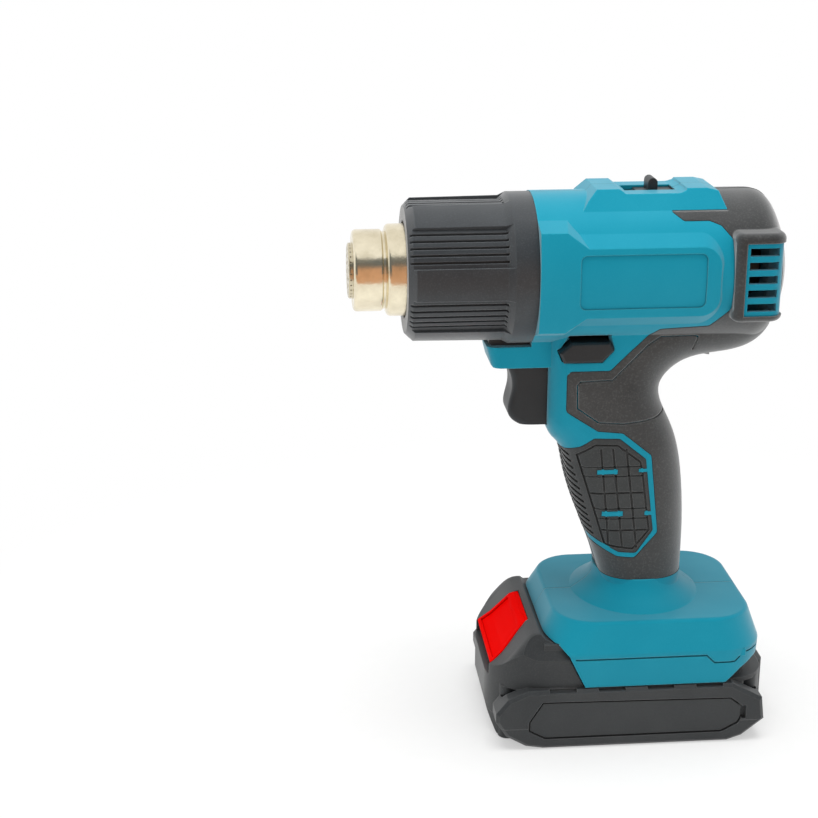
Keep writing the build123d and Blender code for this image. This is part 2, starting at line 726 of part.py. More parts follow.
# ------------------------------------------------------------------ outlet tube, guard and heater
liner_r = tube_r - sheet - liner_gap
with BuildPart() as outlet_tube:
    with BuildSketch(Plane.XZ) as profile:
        with BuildLine():
            z = barrel_z
            Polyline((tube_rear, z + tube_r), (spout_step - 1.5, z + tube_r), (spout_step, z + spout_r - 0.4),
                     (spout_step + 1.4, z + spout_r), (spout_tip - 3, z + spout_r), (spout_tip - 0.8, z + spout_r - 1.6),
                     (spout_tip, z + spout_r - 3.4), (spout_tip, z + spout_lip), (spout_tip - sheet, z + spout_lip),
                     (spout_tip - sheet, z + spout_r - 3.2), (spout_tip - 2.4, z + spout_r - 1.8),
                     (spout_tip - 3.6, z + spout_r - sheet), (spout_step + 1.4, z + spout_r - sheet),
                     (spout_step - 0.6, z + spout_r - sheet - 0.2), (spout_step - 2.2, z + tube_r - sheet),
                     (tube_rear, z + tube_r - sheet), close=True)
        make_face()
        fillet(profile.vertices().sort_by_distance((spout_step - 1.5, barrel_z + tube_r, 0))[0], 1.0)
    revolve(axis=Axis((0, 0, barrel_z), (1, 0, 0)))
finish(outlet_tube, "outlet_tube")

with BuildPart() as outlet_guard:
    with BuildSketch(Plane.YZ.offset(spout_tip - 5.2)):
        with Locations((0, barrel_z)):
            Circle(spout_r - sheet - 0.05)
            Circle(guard_r - 1, mode=Mode.SUBTRACT)
    extrude(amount=sheet)
    with BuildSketch(Plane.YZ.offset(spout_tip - 5.2)):
        with Locations((0, barrel_z)):
            Circle(guard_r)
    extrude(amount=guard_tip - spout_tip + 5.2)
    fillet(outlet_guard.edges().group_by(Axis.X)[-1], 0.8)
    with BuildSketch(Plane.YZ.offset(spout_tip - 6)):
        with Locations((0, barrel_z)):
            Circle(guard_r - sheet)
    extrude(amount=guard_tip - spout_tip + 6 - sheet, mode=Mode.SUBTRACT)
    with BuildSketch(Plane.YZ.offset(spout_tip)):
        with Locations((0, barrel_z)):
            for ring_r, holes in ((0.01, 1), (3.4, 6), (6.6, 12)):
                with PolarLocations(ring_r, holes):
                    RegularPolygon(1.0, 8)
    extrude(amount=6, mode=Mode.SUBTRACT)
finish(outlet_guard, "outlet_guard")

with BuildPart() as heater_liner:
    with BuildSketch(Plane.YZ.offset(tube_rear)):
        with Locations((0, barrel_z)):
            Circle(liner_r)
            Circle(liner_r - liner_sheet, mode=Mode.SUBTRACT)
    extrude(amount=spout_step - 4 - tube_rear)
finish(heater_liner, "heater_liner")

core_r = liner_r - liner_sheet - 0.05
coil_r, coil_wire, coil_turns, coil_pitch, coil_front = 13.5, 1.2, 7, 7.5, 88.0
with BuildPart() as heating_coil:
    for turn in range(coil_turns):
        with BuildSketch(Plane.YZ.offset(coil_front - turn * coil_pitch)):
            with Locations((0, barrel_z)):
                RegularPolygon(coil_r + coil_wire / 2, 12)
                RegularPolygon(coil_r - coil_wire / 2, 12, mode=Mode.SUBTRACT)
        extrude(amount=-coil_wire)
    with Locations((coil_front - (coil_turns - 1) * coil_pitch / 2, coil_r * cos(radians(15)), barrel_z)):
        Box((coil_turns - 1) * coil_pitch, coil_wire * 0.7, coil_wire * 0.7)
finish(heating_coil, "heating_coil")

with BuildPart() as heater_core:
    for wing in range(3):
        with BuildSketch(Plane.YZ.offset(tube_rear + 4)):
            with Locations(Location((0, barrel_z), 30 + 60 * wing)):
                Rectangle(2 * core_r - 0.4, 1.0)
        extrude(amount=spout_step - 8 - tube_rear - 4)
    add(heating_coil.part, mode=Mode.SUBTRACT)
finish(heater_core, "heater_core")

with BuildPart() as heater_flange:
    with BuildSketch(Plane.YZ.offset(tube_rear)):
        with Locations((0, barrel_z)):
            Circle(spigot_r)
            Circle(tube_r + close_fit / 2, mode=Mode.SUBTRACT)
    extrude(amount=2.5)
finish(heater_flange, "heater_flange")

# ------------------------------------------------------------------ fan and motor
with BuildPart() as fan_duct:
    with BuildSketch(Plane.YZ.offset(duct_rear)):
        with Locations((0, barrel_z)):
            Circle(duct_r)
            Circle(duct_r - duct_wall, mode=Mode.SUBTRACT)
    extrude(amount=tube_rear - duct_rear)
    with BuildSketch(Plane.YZ.offset(tube_rear)):
        with Locations((0, barrel_z)):
            Circle(spigot_r)
            Circle(duct_r - duct_wall, mode=Mode.SUBTRACT)
    extrude(amount=-2)
finish(fan_duct, "fan_duct")

with BuildPart() as motor:
    with BuildSketch(Plane.YZ.offset(motor_front)):
        with Locations((0, barrel_z)):
            Circle(motor_r)
    extrude(amount=-motor_long)
    chamfer(motor.edges().filter_by(GeomType.CIRCLE), 0.8)
    with BuildSketch(Plane.YZ.offset(motor_front + 1)):
        with Locations((0, barrel_z)):
            Circle(shaft_r + 0.05)
    extrude(amount=-19, mode=Mode.SUBTRACT)
finish(motor, "motor")

with BuildPart() as motor_mount:
    with BuildSketch(Plane.YZ.offset(duct_rear)):
        with Locations((0, barrel_z)):
            Circle(motor_r + 2.2)
            with PolarLocations(0, 3, start_angle=30):
                with Locations(((motor_r + spigot_r) / 2, 0)):
                    Rectangle(spigot_r - motor_r - 0.4, 3)
            Circle(motor_r + close_fit / 2, mode=Mode.SUBTRACT)
    extrude(amount=-7)
finish(motor_mount, "motor_mount")

with BuildPart() as motor_shaft:
    with BuildSketch(Plane.YZ.offset(motor_front - 17.5)):
        with Locations((0, barrel_z)):
            Circle(shaft_r)
    extrude(amount=fan_front - motor_front + 17.5)
finish(motor_shaft, "motor_shaft")

with BuildPart() as fan_impeller:
    for blade in range(blade_count):
        turn = radians(360 / blade_count * blade)
        blade_plane = Plane(origin=((fan_front + fan_rear) / 2, 0, barrel_z), x_dir=(1, 0, 0),
                            z_dir=(0, cos(turn), sin(turn)))
        with BuildSketch(blade_plane.offset(hub_r - 1.5)):
            with Locations(Location((0, 0), 38)):
                Rectangle(11, 1.2)
        with BuildSketch(blade_plane.offset(fan_r + 1)):
            with Locations(Location((0, 0), 58)):
                Rectangle(11, 1.0)
        loft()
    with BuildSketch(Plane.YZ.offset(fan_rear - 1)):
        with Locations((0, barrel_z)):
            Circle(fan_r)
    extrude(amount=fan_front - fan_rear + 2, mode=Mode.INTERSECT)
    with BuildSketch(Plane.YZ.offset(fan_rear)):
        with Locations((0, barrel_z)):
            Circle(hub_r)
    extrude(amount=fan_front - fan_rear)
    add(motor_shaft.part, mode=Mode.SUBTRACT)
finish(fan_impeller, "fan_impeller")

# ------------------------------------------------------------------ selector
board_z = hump_saddle - 6.7
with BuildPart() as selector_board:
    with Locations((-13.4, 0, board_z + 0.6)):
        Box(22, 22, 1.2)
finish(selector_board, "selector_board")

with BuildPart() as selector_switch:
    with Locations((-11, 0, board_z + 1.2 + 1.0)):
        Box(17, 11, 2.0)
finish(selector_switch, "selector_switch")

plate_middle = (plate_front + plate_rear) / 2
knob_low = hump_saddle - 2.2
knob_high = knob_top - knob_thick / 2
with BuildPart() as selector_knob:
    with Locations((plate_middle, 0, hump_saddle - 2.5)):
        Box(plate_front - plate_rear + 2, 14, 1.2)
    with Locations((plate_middle, 0, hump_saddle - plate_sunk - 0.85)):
        Box(plate_front - plate_rear, 2 * (slot_half - fit), 1.7)
    with BuildSketch(Plane.XZ):
        with Locations((knob_x, (knob_low + knob_high) / 2)):
            Rectangle(knob_thick, knob_high - knob_low)
        with Locations((knob_x, knob_high)):
            Circle(knob_thick / 2)
    extrude(amount=knob_half, both=True)
finish(selector_knob, "selector_knob")

# ------------------------------------------------------------------ trigger, its switch and the lock-off button
plunger_r = 2.0
with BuildPart() as trigger:
    with BuildSketch(Plane.XZ) as blade:
        with BuildLine():
            top = Line((28, trigger_top), (50, trigger_top))
            face = Spline(top @ 1, (48, 149.5), (47.6, 144.5), (49, 137.5), (44.5, trigger_bottom),
                          tangents=((-0.5, -1), (-1, -0.5)))
            Polyline(face @ 1, (28, trigger_bottom), top @ 0)
        make_face()
    extrude(amount=trigger_half, both=True)
    fillet(trigger.edges().filter_by(GeomType.BSPLINE), 2.4)
finish(trigger, "trigger")

with BuildPart() as switch_plunger:
    with BuildSketch(Plane.YZ.offset(28)):
        with Locations((0, trigger_z)):
            Circle(plunger_r)
    extrude(amount=-16)
finish(switch_plunger, "switch_plunger")

with BuildPart() as trigger_switch:
    with Locations(((switch_front + switch_rear) / 2, 0, trigger_z)):
        Box(switch_front - switch_rear, 2 * switch_half, 18)
    with BuildSketch(Plane.YZ.offset(switch_front + 1)):
        with Locations((0, trigger_z)):
            Circle(plunger_r + 0.1)
    extrude(amount=-18, mode=Mode.SUBTRACT)
finish(trigger_switch, "trigger_switch")

with BuildPart() as trigger_spring:
    for turn in range(5):
        with BuildSketch(Plane.YZ.offset(switch_front + 0.1 + turn * 1.55)):
            with Locations((0, trigger_z)):
                RegularPolygon(plunger_r + 1.4, 10)
                RegularPolygon(plunger_r + 0.7, 10, mode=Mode.SUBTRACT)
        extrude(amount=0.8)
    with Locations((switch_front + 0.1 + 3.5, plunger_r + 1.0, trigger_z)):
        Box(7, 0.6, 0.6)
finish(trigger_spring, "trigger_spring")

with BuildPart() as lock_button:
    with BuildSketch(Plane.XZ.offset(handle_half - 0.4)):
        with BuildLine():
            lock_outline(0)
        make_face()
    extrude(amount=-(lock_half + handle_half - 0.4))
    chamfer(lock_button.edges().group_by(Axis.Y)[-1], 0.8)
finish(lock_button, "lock_button")

# ------------------------------------------------------------------ electrics of the handle and the foot
with BuildPart() as control_board:
    with Locations((-7, 0, 104)):
        Box(16, board_thick, 42)
finish(control_board, "control_board")

block_low = tower_top + 0.5
with BuildPart() as terminal_block:
    with Locations((-14, 0, (block_low + ridge_z - wall) / 2)):
        Box(34, 36, ridge_z - wall - block_low)
finish(terminal_block, "terminal_block")

blade_places = [(-16, -blade_y), (-16, 0), (-16, blade_y)]
blade_low = tower_top - 8
with BuildPart() as terminal_blades:
    with Locations(*[(x, y, (blade_low + block_low) / 2) for x, y in blade_places]):
        Box(16, blade_thick, block_low - blade_low)
finish(terminal_blades, "terminal_blades")


# ------------------------------------------------------------------ battery pack
def pack_outline(length_front, length_rear, half, corner):
    """Rounded rectangle of the pack in plan."""
    with Locations(((length_front + length_rear) / 2, 0)):
        RectangleRounded(length_front - length_rear, 2 * half, corner)


def side_bar():
    """Outline of the bar along each side of the pack, in the side plane."""
    return Polyline((bar_front, 12.4), (bar_front, 16.2), (bar_front - 4.8, 22.3), (42.8, pack_shoulder),
                    (-41, pack_shoulder), (bar_rear + 1.2, 19), (bar_rear, 9.3), (-46, 2), (-40, 0), (36.5, 0),
                    (43.6, 1.2), (bar_front - 4.4, 5.8), close=True)


def panel_outline():
    """Outline of the inset panel of the bar, in the side plane."""
    return Polyline((42, 12.3), (42, 8.6), (35.8, 5.2), (-37, 5.2), (-43.4, 8.6), (-44.6, 11), (-44.6, 16),
                    (-40.2, 19.4), (36.7, 20.6), close=True)


def button_outline(grow, drop):
    """The release button from the front: narrower towards its top."""
    return Polyline((12.6 + grow, button_high + 1.4), (15.9 + grow, button_high - 1.6),
                    (button_half + grow, button_low + 1), (button_half + grow, button_low - drop),
                    (-button_half - grow, button_low - drop), (-button_half - grow, button_low + 1),
                    (-15.9 - grow, button_high - 1.6), (-12.6 - grow, button_high + 1.4), close=True)


with BuildPart() as pack_form:
    with BuildSketch():
        pack_outline(pack_front, pack_rear, pack_half, 15)
    extrude(amount=pack_shoulder)
    fillet(pack_form.edges().group_by(Axis.Z)[0], 5)

# front block: shoulder, slope and nose ahead of the foot
with BuildPart() as front_block:
    with BuildSketch(Plane.XZ):
        with BuildLine():
            top = Line((5, block_top), (38, block_top))
            slope = Spline(top @ 1, (43.3, 44.4), (51, 35.2), (55.2, 31.6), (pack_front, 27),
                           tangents=((1, 0), (0, -1)))
            Polyline(slope @ 1, (pack_front, 8), (5, 8), top @ 0)
        make_face()
    extrude(amount=block_half, both=True)
    shoulders = front_block.edges().filter_by(lambda edge: abs(edge.center().Y) > block_half - 0.1)
    fillet(shoulders.filter_by(lambda edge: edge.center().X > 20 and edge.center().Z > 12), block_round)
    with BuildSketch(Plane.XZ):
        with BuildLine():
            Polyline((0, 0), (19.6, 0), (20.1, foot_low - 0.2), (26.9, 39.9), (30.2, 43.2), (35.3, 45.2),
                     (38.0, block_top + 1), (0, block_top + 1), close=True)
        make_face()
    extrude(amount=50, both=True, mode=Mode.SUBTRACT)

with BuildPart() as pack_limits:
    with BuildSketch(Plane.YZ.offset(-80)):
        with BuildLine():
            Polyline((block_half, -5), (block_half, 38), (block_half - 9, 50), (9 - block_half, 50),
                     (-block_half, 38), (-block_half, -5), close=True)
        make_face()
    extrude(amount=160)
    with BuildSketch(Plane.XY.offset(-5)):
        pack_outline(pack_front, pack_rear - 20, block_half, 22)
    extrude(amount=80, mode=Mode.INTERSECT)
    # long rounding under the front
    with BuildSketch(Plane.XZ):
        with BuildLine():
            under = Spline((52.3, 0), (54.9, 3), (57.1, 8.5), (pack_front, 15), tangents=((1, 0.3), (0, 1)))
            Polyline(under @ 1, (pack_front, 60), (-80, 60), (-80, 0), under @ 0)
        make_face()
    extrude(amount=50, both=True, mode=Mode.INTERSECT)

with BuildPart() as pack_bars:
    with BuildSketch(Plane.XZ.offset(-bar_y)):
        with BuildLine():
            side_bar()
        make_face()
    extrude(amount=bar_y - 28)
    chamfer(pack_bars.faces().sort_by(Axis.Y)[-1].edges(), 1.4)
    with Locations(*[(28.8 - 20.1 * k, bar_y - 1, pack_shoulder) for k in range(4)]):
        Box(11, 3.4, 2.0, mode=Mode.SUBTRACT)
    mirror(about=Plane.XZ)

# inset panels on the outside of the bars, in a bed with a narrow channel round them
with BuildPart() as bar_panels:
    with BuildSketch(Plane.XZ.offset(-bar_y + 0.4)):
        with BuildLine():
            panel_outline()
        make_face()
    extrude(amount=3)
    mirror(about=Plane.XZ)

with BuildPart() as panel_beds:
    with BuildSketch(Plane.XZ.offset(-bar_y - 1)):
        with BuildLine():
            panel_outline()
        make_face()
        offset(amount=groove_deep)
    extrude(amount=2.4)
    with Locations((-46.2, bar_y, 13.2)):
        Box(1.8, 4, 6)
    mirror(about=Plane.XZ)

with BuildPart() as pack_tower:
    tower_rear, tower_front = foot_rear + wall + 1.5, foot_front - 2
    with BuildSketch(Plane.XY.offset(pack_shoulder - 1)):
        pack_outline(tower_front, tower_rear, tower_half, foot_round - wall)
        with Locations((tower_front - 18, 0)):
            Rectangle(36, 2 * tower_half)
    extrude(amount=tower_top - pack_shoulder + 1)
    for side in (1, -1):
        with Locations((-14, side * (tower_half + rail_in) / 2, rail_z + rail_high / 2)):
            Box(90, tower_half - rail_in + 2 * fit, rail_high + 2 * fit, mode=Mode.SUBTRACT)
    # slots that take the tool's blades, open at the rear
    for x, y in blade_places:
        with Locations((x - 18 + 4, y, tower_top - 4.5)):
            Box(60, 4.0, 9.4, mode=Mode.SUBTRACT)

# release button: it fills the slope of the front block and moves straight down
with BuildPart() as button_dish:
    with BuildSketch(Plane.XZ):
        with BuildLine():
            Polyline((43.9, 43.3), (50.8, 35.0), (54.8, 31.4), (57.8, 34.5), (47.5, 47), close=True)
        make_face()
    extrude(amount=button_half, both=True)
    with BuildSketch(Plane.YZ.offset(30)):
        with BuildLine():
            button_outline(-1.6, 0)
        make_face()
    extrude(amount=40, mode=Mode.INTERSECT)

with BuildPart() as button_form:
    with BuildSketch(Plane.XZ):
        with BuildLine():
            Polyline((40.0, button_high), (42.0, button_high - 0.3), (43.6, button_high - 1.6), (51.3, 35.5),
                     (56.3, 31.0), (56.3, button_low), (52.5, button_low), (46.5, 33.0), (40.0, 38.0), close=True)
        make_face()
    extrude(amount=button_half + 1, both=True)
    with BuildSketch(Plane.YZ.offset(30)):
        with BuildLine():
            button_outline(0, 0)
        make_face()
    extrude(amount=40, mode=Mode.INTERSECT)
    add(button_dish.part, mode=Mode.SUBTRACT)

hook_top, hook_half = tower_top + 0.2, 8.0
with BuildPart() as latch_hook:
    with BuildSketch(Plane.XZ):
        with BuildLine():
            Polyline((40.0, 38.2), (40.0, 44.0), (36.2, 41.2), (33.2, 41.0), (33.2, hook_top - 2), (30.6, hook_top),
                     (29.0, hook_top), (29.0, 38.2), close=True)
        make_face()
    extrude(amount=hook_half, both=True)

with BuildPart() as button_pocket:
    # room for the button and for its travel, open at the slope
    with BuildSketch(Plane.XZ):
        with BuildLine():
            Polyline((40.0 - fit, button_high + 1), (80, button_high + 1), (80, 24.0),
                     (52, button_low - button_travel - fit), (45, button_low - button_travel - fit),
                     (40.0 - fit, 33), close=True)
        make_face()
    extrude(amount=button_half + 1, both=True)
    with BuildSketch(Plane.YZ.offset(30)):
        with BuildLine():
            button_outline(fit, button_travel + 10)
        make_face()
    extrude(amount=60, mode=Mode.INTERSECT)
    # pit of the hook, open at the top of the tower, and its way forward under the shoulder
    with Locations((31.1, 0, 46.8)):
        Box(4.8, 2 * (hook_half + fit), 26.4)
    with Locations((37.2, 0, 39.1)):
        Box(7.6, 2 * (hook_half + fit), 11)

cell_pitch = 2 * cell_r + 0.4
cell_z = case_wall + 0.8 + cell_r
cell_middle = -1.0
with BuildPart() as cells:
    with Locations(Plane.XZ):
        with Locations((cell_middle, cell_z)):
            with GridLocations(cell_pitch, 1, cell_count, 1):
                Cylinder(cell_r, cell_long)

with BuildPart() as cell_holder:
    with Locations((cell_middle, 0, cell_z)):
        Box(cell_count * cell_pitch + 3, 46, 2 * cell_r + 1.6)
    add(cells.part, mode=Mode.SUBTRACT)

holder_top = cell_z + cell_r + 0.8
with BuildPart() as pack_hollow:
    with BuildSketch(Plane.XY.offset(case_wall)):
        pack_outline(pack_front - 5, pack_rear + 3.5, cell_long / 2 + close_fit, 3)
    extrude(amount=holder_top + board_thick + 0.3 - case_wall)

case_screw_places = [(x, y) for x in (-50.3, 49.5) for y in (-26, 26)]
with BuildPart() as pack_screws:
    with Locations(*[(x, y, 2.0) for x, y in case_screw_places]):
        Cylinder(2.6, 2, align=(Align.CENTER, Align.CENTER, Align.MIN))
        Cylinder(1.4, 14, align=(Align.CENTER, Align.CENTER, Align.MIN))

with BuildPart() as pack_posts:
    with Locations(*[(x, y, 0.6) for x, y in case_screw_places]):
        Cylinder(4.0, holder_top + board_thick, align=(Align.CENTER, Align.CENTER, Align.MIN))

with BuildPart() as pack_wells:
    with Locations(*[(x, y, -1) for x, y in case_screw_places]):
        Cylinder(2.6 + close_fit, 3, align=(Align.CENTER, Align.CENTER, Align.MIN))

with BuildPart() as pack_solid:
    add([pack_form.part, front_block.part])
    with Locations((-56, 0, 11.5)):
        Box(10, 26, 23)
    fillet(pack_solid.edges().filter_by(Axis.Z).group_by(Axis.X)[0], 3)
    add(pack_limits.part, mode=Mode.INTERSECT)
    add([pack_bars.part, pack_tower.part])
    add([bar_panels.part, panel_beds.part, pack_hollow.part], mode=Mode.SUBTRACT)
    add(pack_posts.part)
    add([cells.part, cell_holder.part, button_pocket.part, pack_screws.part, pack_wells.part], mode=Mode.SUBTRACT)

with BuildPart() as battery_upper_case:
    add(pack_solid.part)
    split(bisect_by=Plane.XY.offset(pack_seam), keep=Keep.TOP)
finish(battery_upper_case, "battery_upper_case")

with BuildPart() as battery_lower_case:
    add(pack_solid.part)
    split(bisect_by=Plane.XY.offset(pack_seam), keep=Keep.BOTTOM)
finish(battery_lower_case, "battery_lower_case")

for name, side in (("left", 1), ("right", -1)):
    write(middle_split(bar_panels.part, side), f"battery_panel_{name}")
write(cells.part, "battery_cells")
write(cell_holder.part, "cell_holder")
write(pack_screws.part, "battery_screws")

with BuildPart() as battery_board:
    with Locations((cell_middle - 1, 0, holder_top + board_thick / 2)):
        Box(84, 48, board_thick)
finish(battery_board, "battery_board")

with BuildPart() as battery_terminals:
    slot_floor = tower_top - 4.5 - 4.7
    for x, y in blade_places:
        with Locations((x, y, slot_floor + 0.4)):
            Box(12, 4.0, 0.8)
        for side in (1, -1):
            with Locations((x, y + side * (blade_thick / 2 + 0.15 + 0.25), slot_floor + 4)):
                Box(12, 0.5, 8)
finish(battery_terminals, "battery_terminals")

with BuildPart() as release_button:
    add(button_form.part)
finish(release_button, "release_button")
finish(latch_hook, "latch_hook")

with BuildPart() as latch_spring:
    for turn in range(3):
        with BuildSketch(Plane.XY.offset(33.8 + 1.4 * turn)):
            with Locations((31.5, 0)):
                RegularPolygon(2.2, 10)
                RegularPolygon(1.5, 10, mode=Mode.SUBTRACT)
        extrude(amount=0.8)
    with Locations((31.5 + 1.8, 0, 33.8 + 2.0)):
        Box(0.6, 0.6, 3.6)
finish(latch_spring, "latch_spring")
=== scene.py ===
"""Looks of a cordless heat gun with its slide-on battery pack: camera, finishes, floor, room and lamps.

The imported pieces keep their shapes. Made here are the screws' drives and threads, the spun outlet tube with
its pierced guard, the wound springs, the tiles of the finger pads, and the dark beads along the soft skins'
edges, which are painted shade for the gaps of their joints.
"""

import math

import bmesh
import bpy
from mathutils import Matrix, Vector
from mathutils.bvhtree import BVHTree


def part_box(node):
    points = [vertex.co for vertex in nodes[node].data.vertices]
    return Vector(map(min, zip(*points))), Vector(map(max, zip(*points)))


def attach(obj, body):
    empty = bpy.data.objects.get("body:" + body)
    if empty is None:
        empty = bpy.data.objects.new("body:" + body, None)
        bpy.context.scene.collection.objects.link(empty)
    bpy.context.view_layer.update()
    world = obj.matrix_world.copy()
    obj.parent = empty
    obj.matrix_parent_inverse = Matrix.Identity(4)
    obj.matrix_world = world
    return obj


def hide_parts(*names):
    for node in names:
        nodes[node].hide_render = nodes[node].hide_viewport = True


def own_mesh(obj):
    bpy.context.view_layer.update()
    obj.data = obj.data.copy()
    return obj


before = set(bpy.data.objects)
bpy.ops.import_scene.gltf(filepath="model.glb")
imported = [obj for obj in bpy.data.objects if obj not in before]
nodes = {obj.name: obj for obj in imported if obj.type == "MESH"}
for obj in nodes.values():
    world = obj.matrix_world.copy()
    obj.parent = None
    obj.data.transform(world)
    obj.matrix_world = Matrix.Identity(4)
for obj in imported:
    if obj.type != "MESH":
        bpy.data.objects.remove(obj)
scene = bpy.context.scene
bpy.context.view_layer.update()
MM = 0.001
TAU = 2 * math.pi


# ------------------------------------------------------------------ camera
CAMERA_PLACE = Vector((0.14354, 0.63395, 0.34785))
LOOK_DOWN, LOOK_ROUND = math.radians(18.5), math.radians(5.0)
LENS_MM, SENSOR_MM = 73.5, 36
SIGHT = 60                # metres: past the edge of the floor

camera_data = bpy.data.cameras.new("camera")
camera_data.lens = LENS_MM
camera_data.sensor_width = SENSOR_MM
camera_data.clip_end = SIGHT
camera = bpy.data.objects.new("camera", camera_data)
camera.location = CAMERA_PLACE
camera.rotation_euler = (math.pi / 2 - LOOK_DOWN, 0, math.pi - LOOK_ROUND)
scene.collection.objects.link(camera)
scene.camera = camera
scene.view_settings.view_transform = "Standard"


# ------------------------------------------------------------------ nodes and colours
def linear(hex_colour):
    """The linear colour that a socket takes, from an sRGB hex colour."""
    parts = [int(hex_colour[i:i + 2], 16) / 255 for i in (1, 3, 5)]
    return (*[c / 12.92 if c <= 0.04045 else ((c + 0.055) / 1.055) ** 2.4 for c in parts], 1)


def add(tree, kind, inputs=None, **settings):
    """Adds a node. Each input is a plain value, or another node's output to link.

    An input goes by its name, or by its number where several inputs of the node share a name.
    """
    made = tree.nodes.new("ShaderNode" + kind)
    for name, value in settings.items():
        setattr(made, name, value)
    for name, value in (inputs or {}).items():
        if isinstance(value, bpy.types.NodeSocket):
            tree.links.new(value, made.inputs[name])
        else:
            made.inputs[name].default_value = value
    return made


def pattern_scale(size_mm):
    """Scale of a pattern whose features are that many millimetres, on coordinates in metres."""
    return 1 / (size_mm * MM)


def start_material(name):
    """An empty material with its tree and the object's own coordinates."""
    material = bpy.data.materials.new(name)
    material.use_nodes = True
    tree = material.node_tree
    tree.nodes.clear()
    return material, tree, add(tree, "TexCoord").outputs["Object"]


# ------------------------------------------------------------------ finishes
FLOW_MARK_MM = 28         # how far apart the slow flow marks of a moulding lie
GLOSS_PATCH_MM = 9        # patches that polishing leaves on metal
SATIN_MM = 0.9            # orange peel of polished sheet, drawn coarser than the real 0.2 mm so that it shows
METAL_EDGE_MM = 0.3       # how far the edges of metal are broken
DRAW_DEPTH_MM = 0.006     # depth of the marks that drawing leaves
HEAT_WAVER_MM = 7         # how far the end of the heat colour wavers
BEVEL_SAMPLES, CREVICE_SAMPLES = 6, 8


def moulded(name, colour, pale_tone_and_edge_highlight, rough, grain_mm, grain_depth_mm, ior=1.5, edge_mm=0.5, seam=False,
            mirror=0.5, speckle=0.0, dust=0.0, deep="#060708", crevice_mm=1.2):
    """Injection-moulded plastic or rubber.

    The tool's spark-eroded texture gives a fine even grain. The real grain is near 0.1 mm, and grain_mm
    draws it coarser so that it shows. Corners are never sharp, and they are painted a little paler: in part
    wear from handling, in part a painted highlight where light catches the rounding. Slow flow marks vary the
    colour and the gloss. speckle is how pale the peaks of the grain are, mirror how strongly the skin
    reflects, dust the pale bloom at a low angle, and deep the colour of the painted shade in grooves and
    inner corners.
    """
    material, tree, place = start_material(name)
    grain = add(tree, "TexNoise", {"Vector": place, "Scale": pattern_scale(grain_mm), "Detail": 3.0,
                                   "Roughness": 0.6})
    flow = add(tree, "TexNoise", {"Vector": place, "Scale": pattern_scale(FLOW_MARK_MM), "Detail": 4.0,
                                  "Roughness": 0.55})
    streaks = add(tree, "MapRange", {"Value": flow.outputs[0], "From Min": 0.3, "From Max": 0.7,
                                     "To Min": 0.0, "To Max": 0.10})
    peaks = add(tree, "MapRange", {"Value": grain.outputs[0], "From Min": 0.50, "From Max": 0.72,
                                   "To Min": 0.0, "To Max": speckle})
    paler = add(tree, "Math", {0: streaks.outputs[0], 1: peaks.outputs[0]}, operation="ADD")
    shown = add(tree, "MixRGB", {"Fac": paler.outputs[0], "Color1": linear(colour), "Color2": linear(pale_tone_and_edge_highlight)})
    # corners painted paler, part wear and part painted highlight; mask: how far the rounded normal leans away
    # from the face's own
    rounded = add(tree, "Bevel", {"Radius": edge_mm * MM}, samples=BEVEL_SAMPLES)
    flat = add(tree, "NewGeometry")
    lean = add(tree, "VectorMath", {0: rounded.outputs[0], 1: flat.outputs["Normal"]},
               operation="DOT_PRODUCT")
    corner = add(tree, "MapRange", {"Value": lean.outputs["Value"], "From Min": 0.995, "From Max": 0.80,
                                    "To Min": 0.0, "To Max": 0.75})
    shown = add(tree, "MixRGB", {"Fac": corner.outputs[0], "Color1": shown.outputs[0],
                                 "Color2": linear(pale_tone_and_edge_highlight)})
    # painted shade: grooves and inner corners are painted towards deep, as shade where little light gets in
    open_sky = add(tree, "AmbientOcclusion", {"Distance": crevice_mm * MM}, samples=CREVICE_SAMPLES)
    crevice_shade = add(tree, "MapRange", {"Value": open_sky.outputs["AO"], "From Min": 0.35, "From Max": 0.80,
                                     "To Min": 0.75, "To Max": 0.0})
    shown = add(tree, "MixRGB", {"Fac": crevice_shade.outputs[0], "Color1": shown.outputs[0],
                                 "Color2": linear(deep)})
    height = grain.outputs[0]
    if seam:
        # the parting line of the two halves: a fine groove in the middle plane
        across = add(tree, "SeparateXYZ", {0: place})
        off = add(tree, "Math", {0: across.outputs["Y"]}, operation="ABSOLUTE")
        line = add(tree, "MapRange", {"Value": off.outputs[0], "From Min": 0.10 * MM, "From Max": 0.26 * MM,
                                      "To Min": 1.0, "To Max": 0.0})
        shown = add(tree, "MixRGB", {"Fac": line.outputs[0], "Color1": shown.outputs[0],
                                     "Color2": linear("#01616f")})
        height = add(tree, "Math", {0: height, 1: line.outputs[0]}, operation="SUBTRACT").outputs[0]
    gloss = add(tree, "MapRange", {"Value": flow.outputs[0], "From Min": 0.3, "From Max": 0.7,
                                   "To Min": rough + 0.05, "To Max": rough - 0.05})
    bump = add(tree, "Bump", {"Height": height, "Distance": grain_depth_mm * MM, "Strength": 1.0,
                              "Normal": rounded.outputs[0]})
    shader = add(tree, "BsdfPrincipled", {"Base Color": shown.outputs[0], "Roughness": gloss.outputs[0],
                                          "IOR": ior, "Specular IOR Level": mirror, "Sheen Weight": dust,
                                          "Sheen Roughness": 0.5, "Normal": bump.outputs[0]})
    add(tree, "OutputMaterial", {"Surface": shader.outputs[0]})
    return material


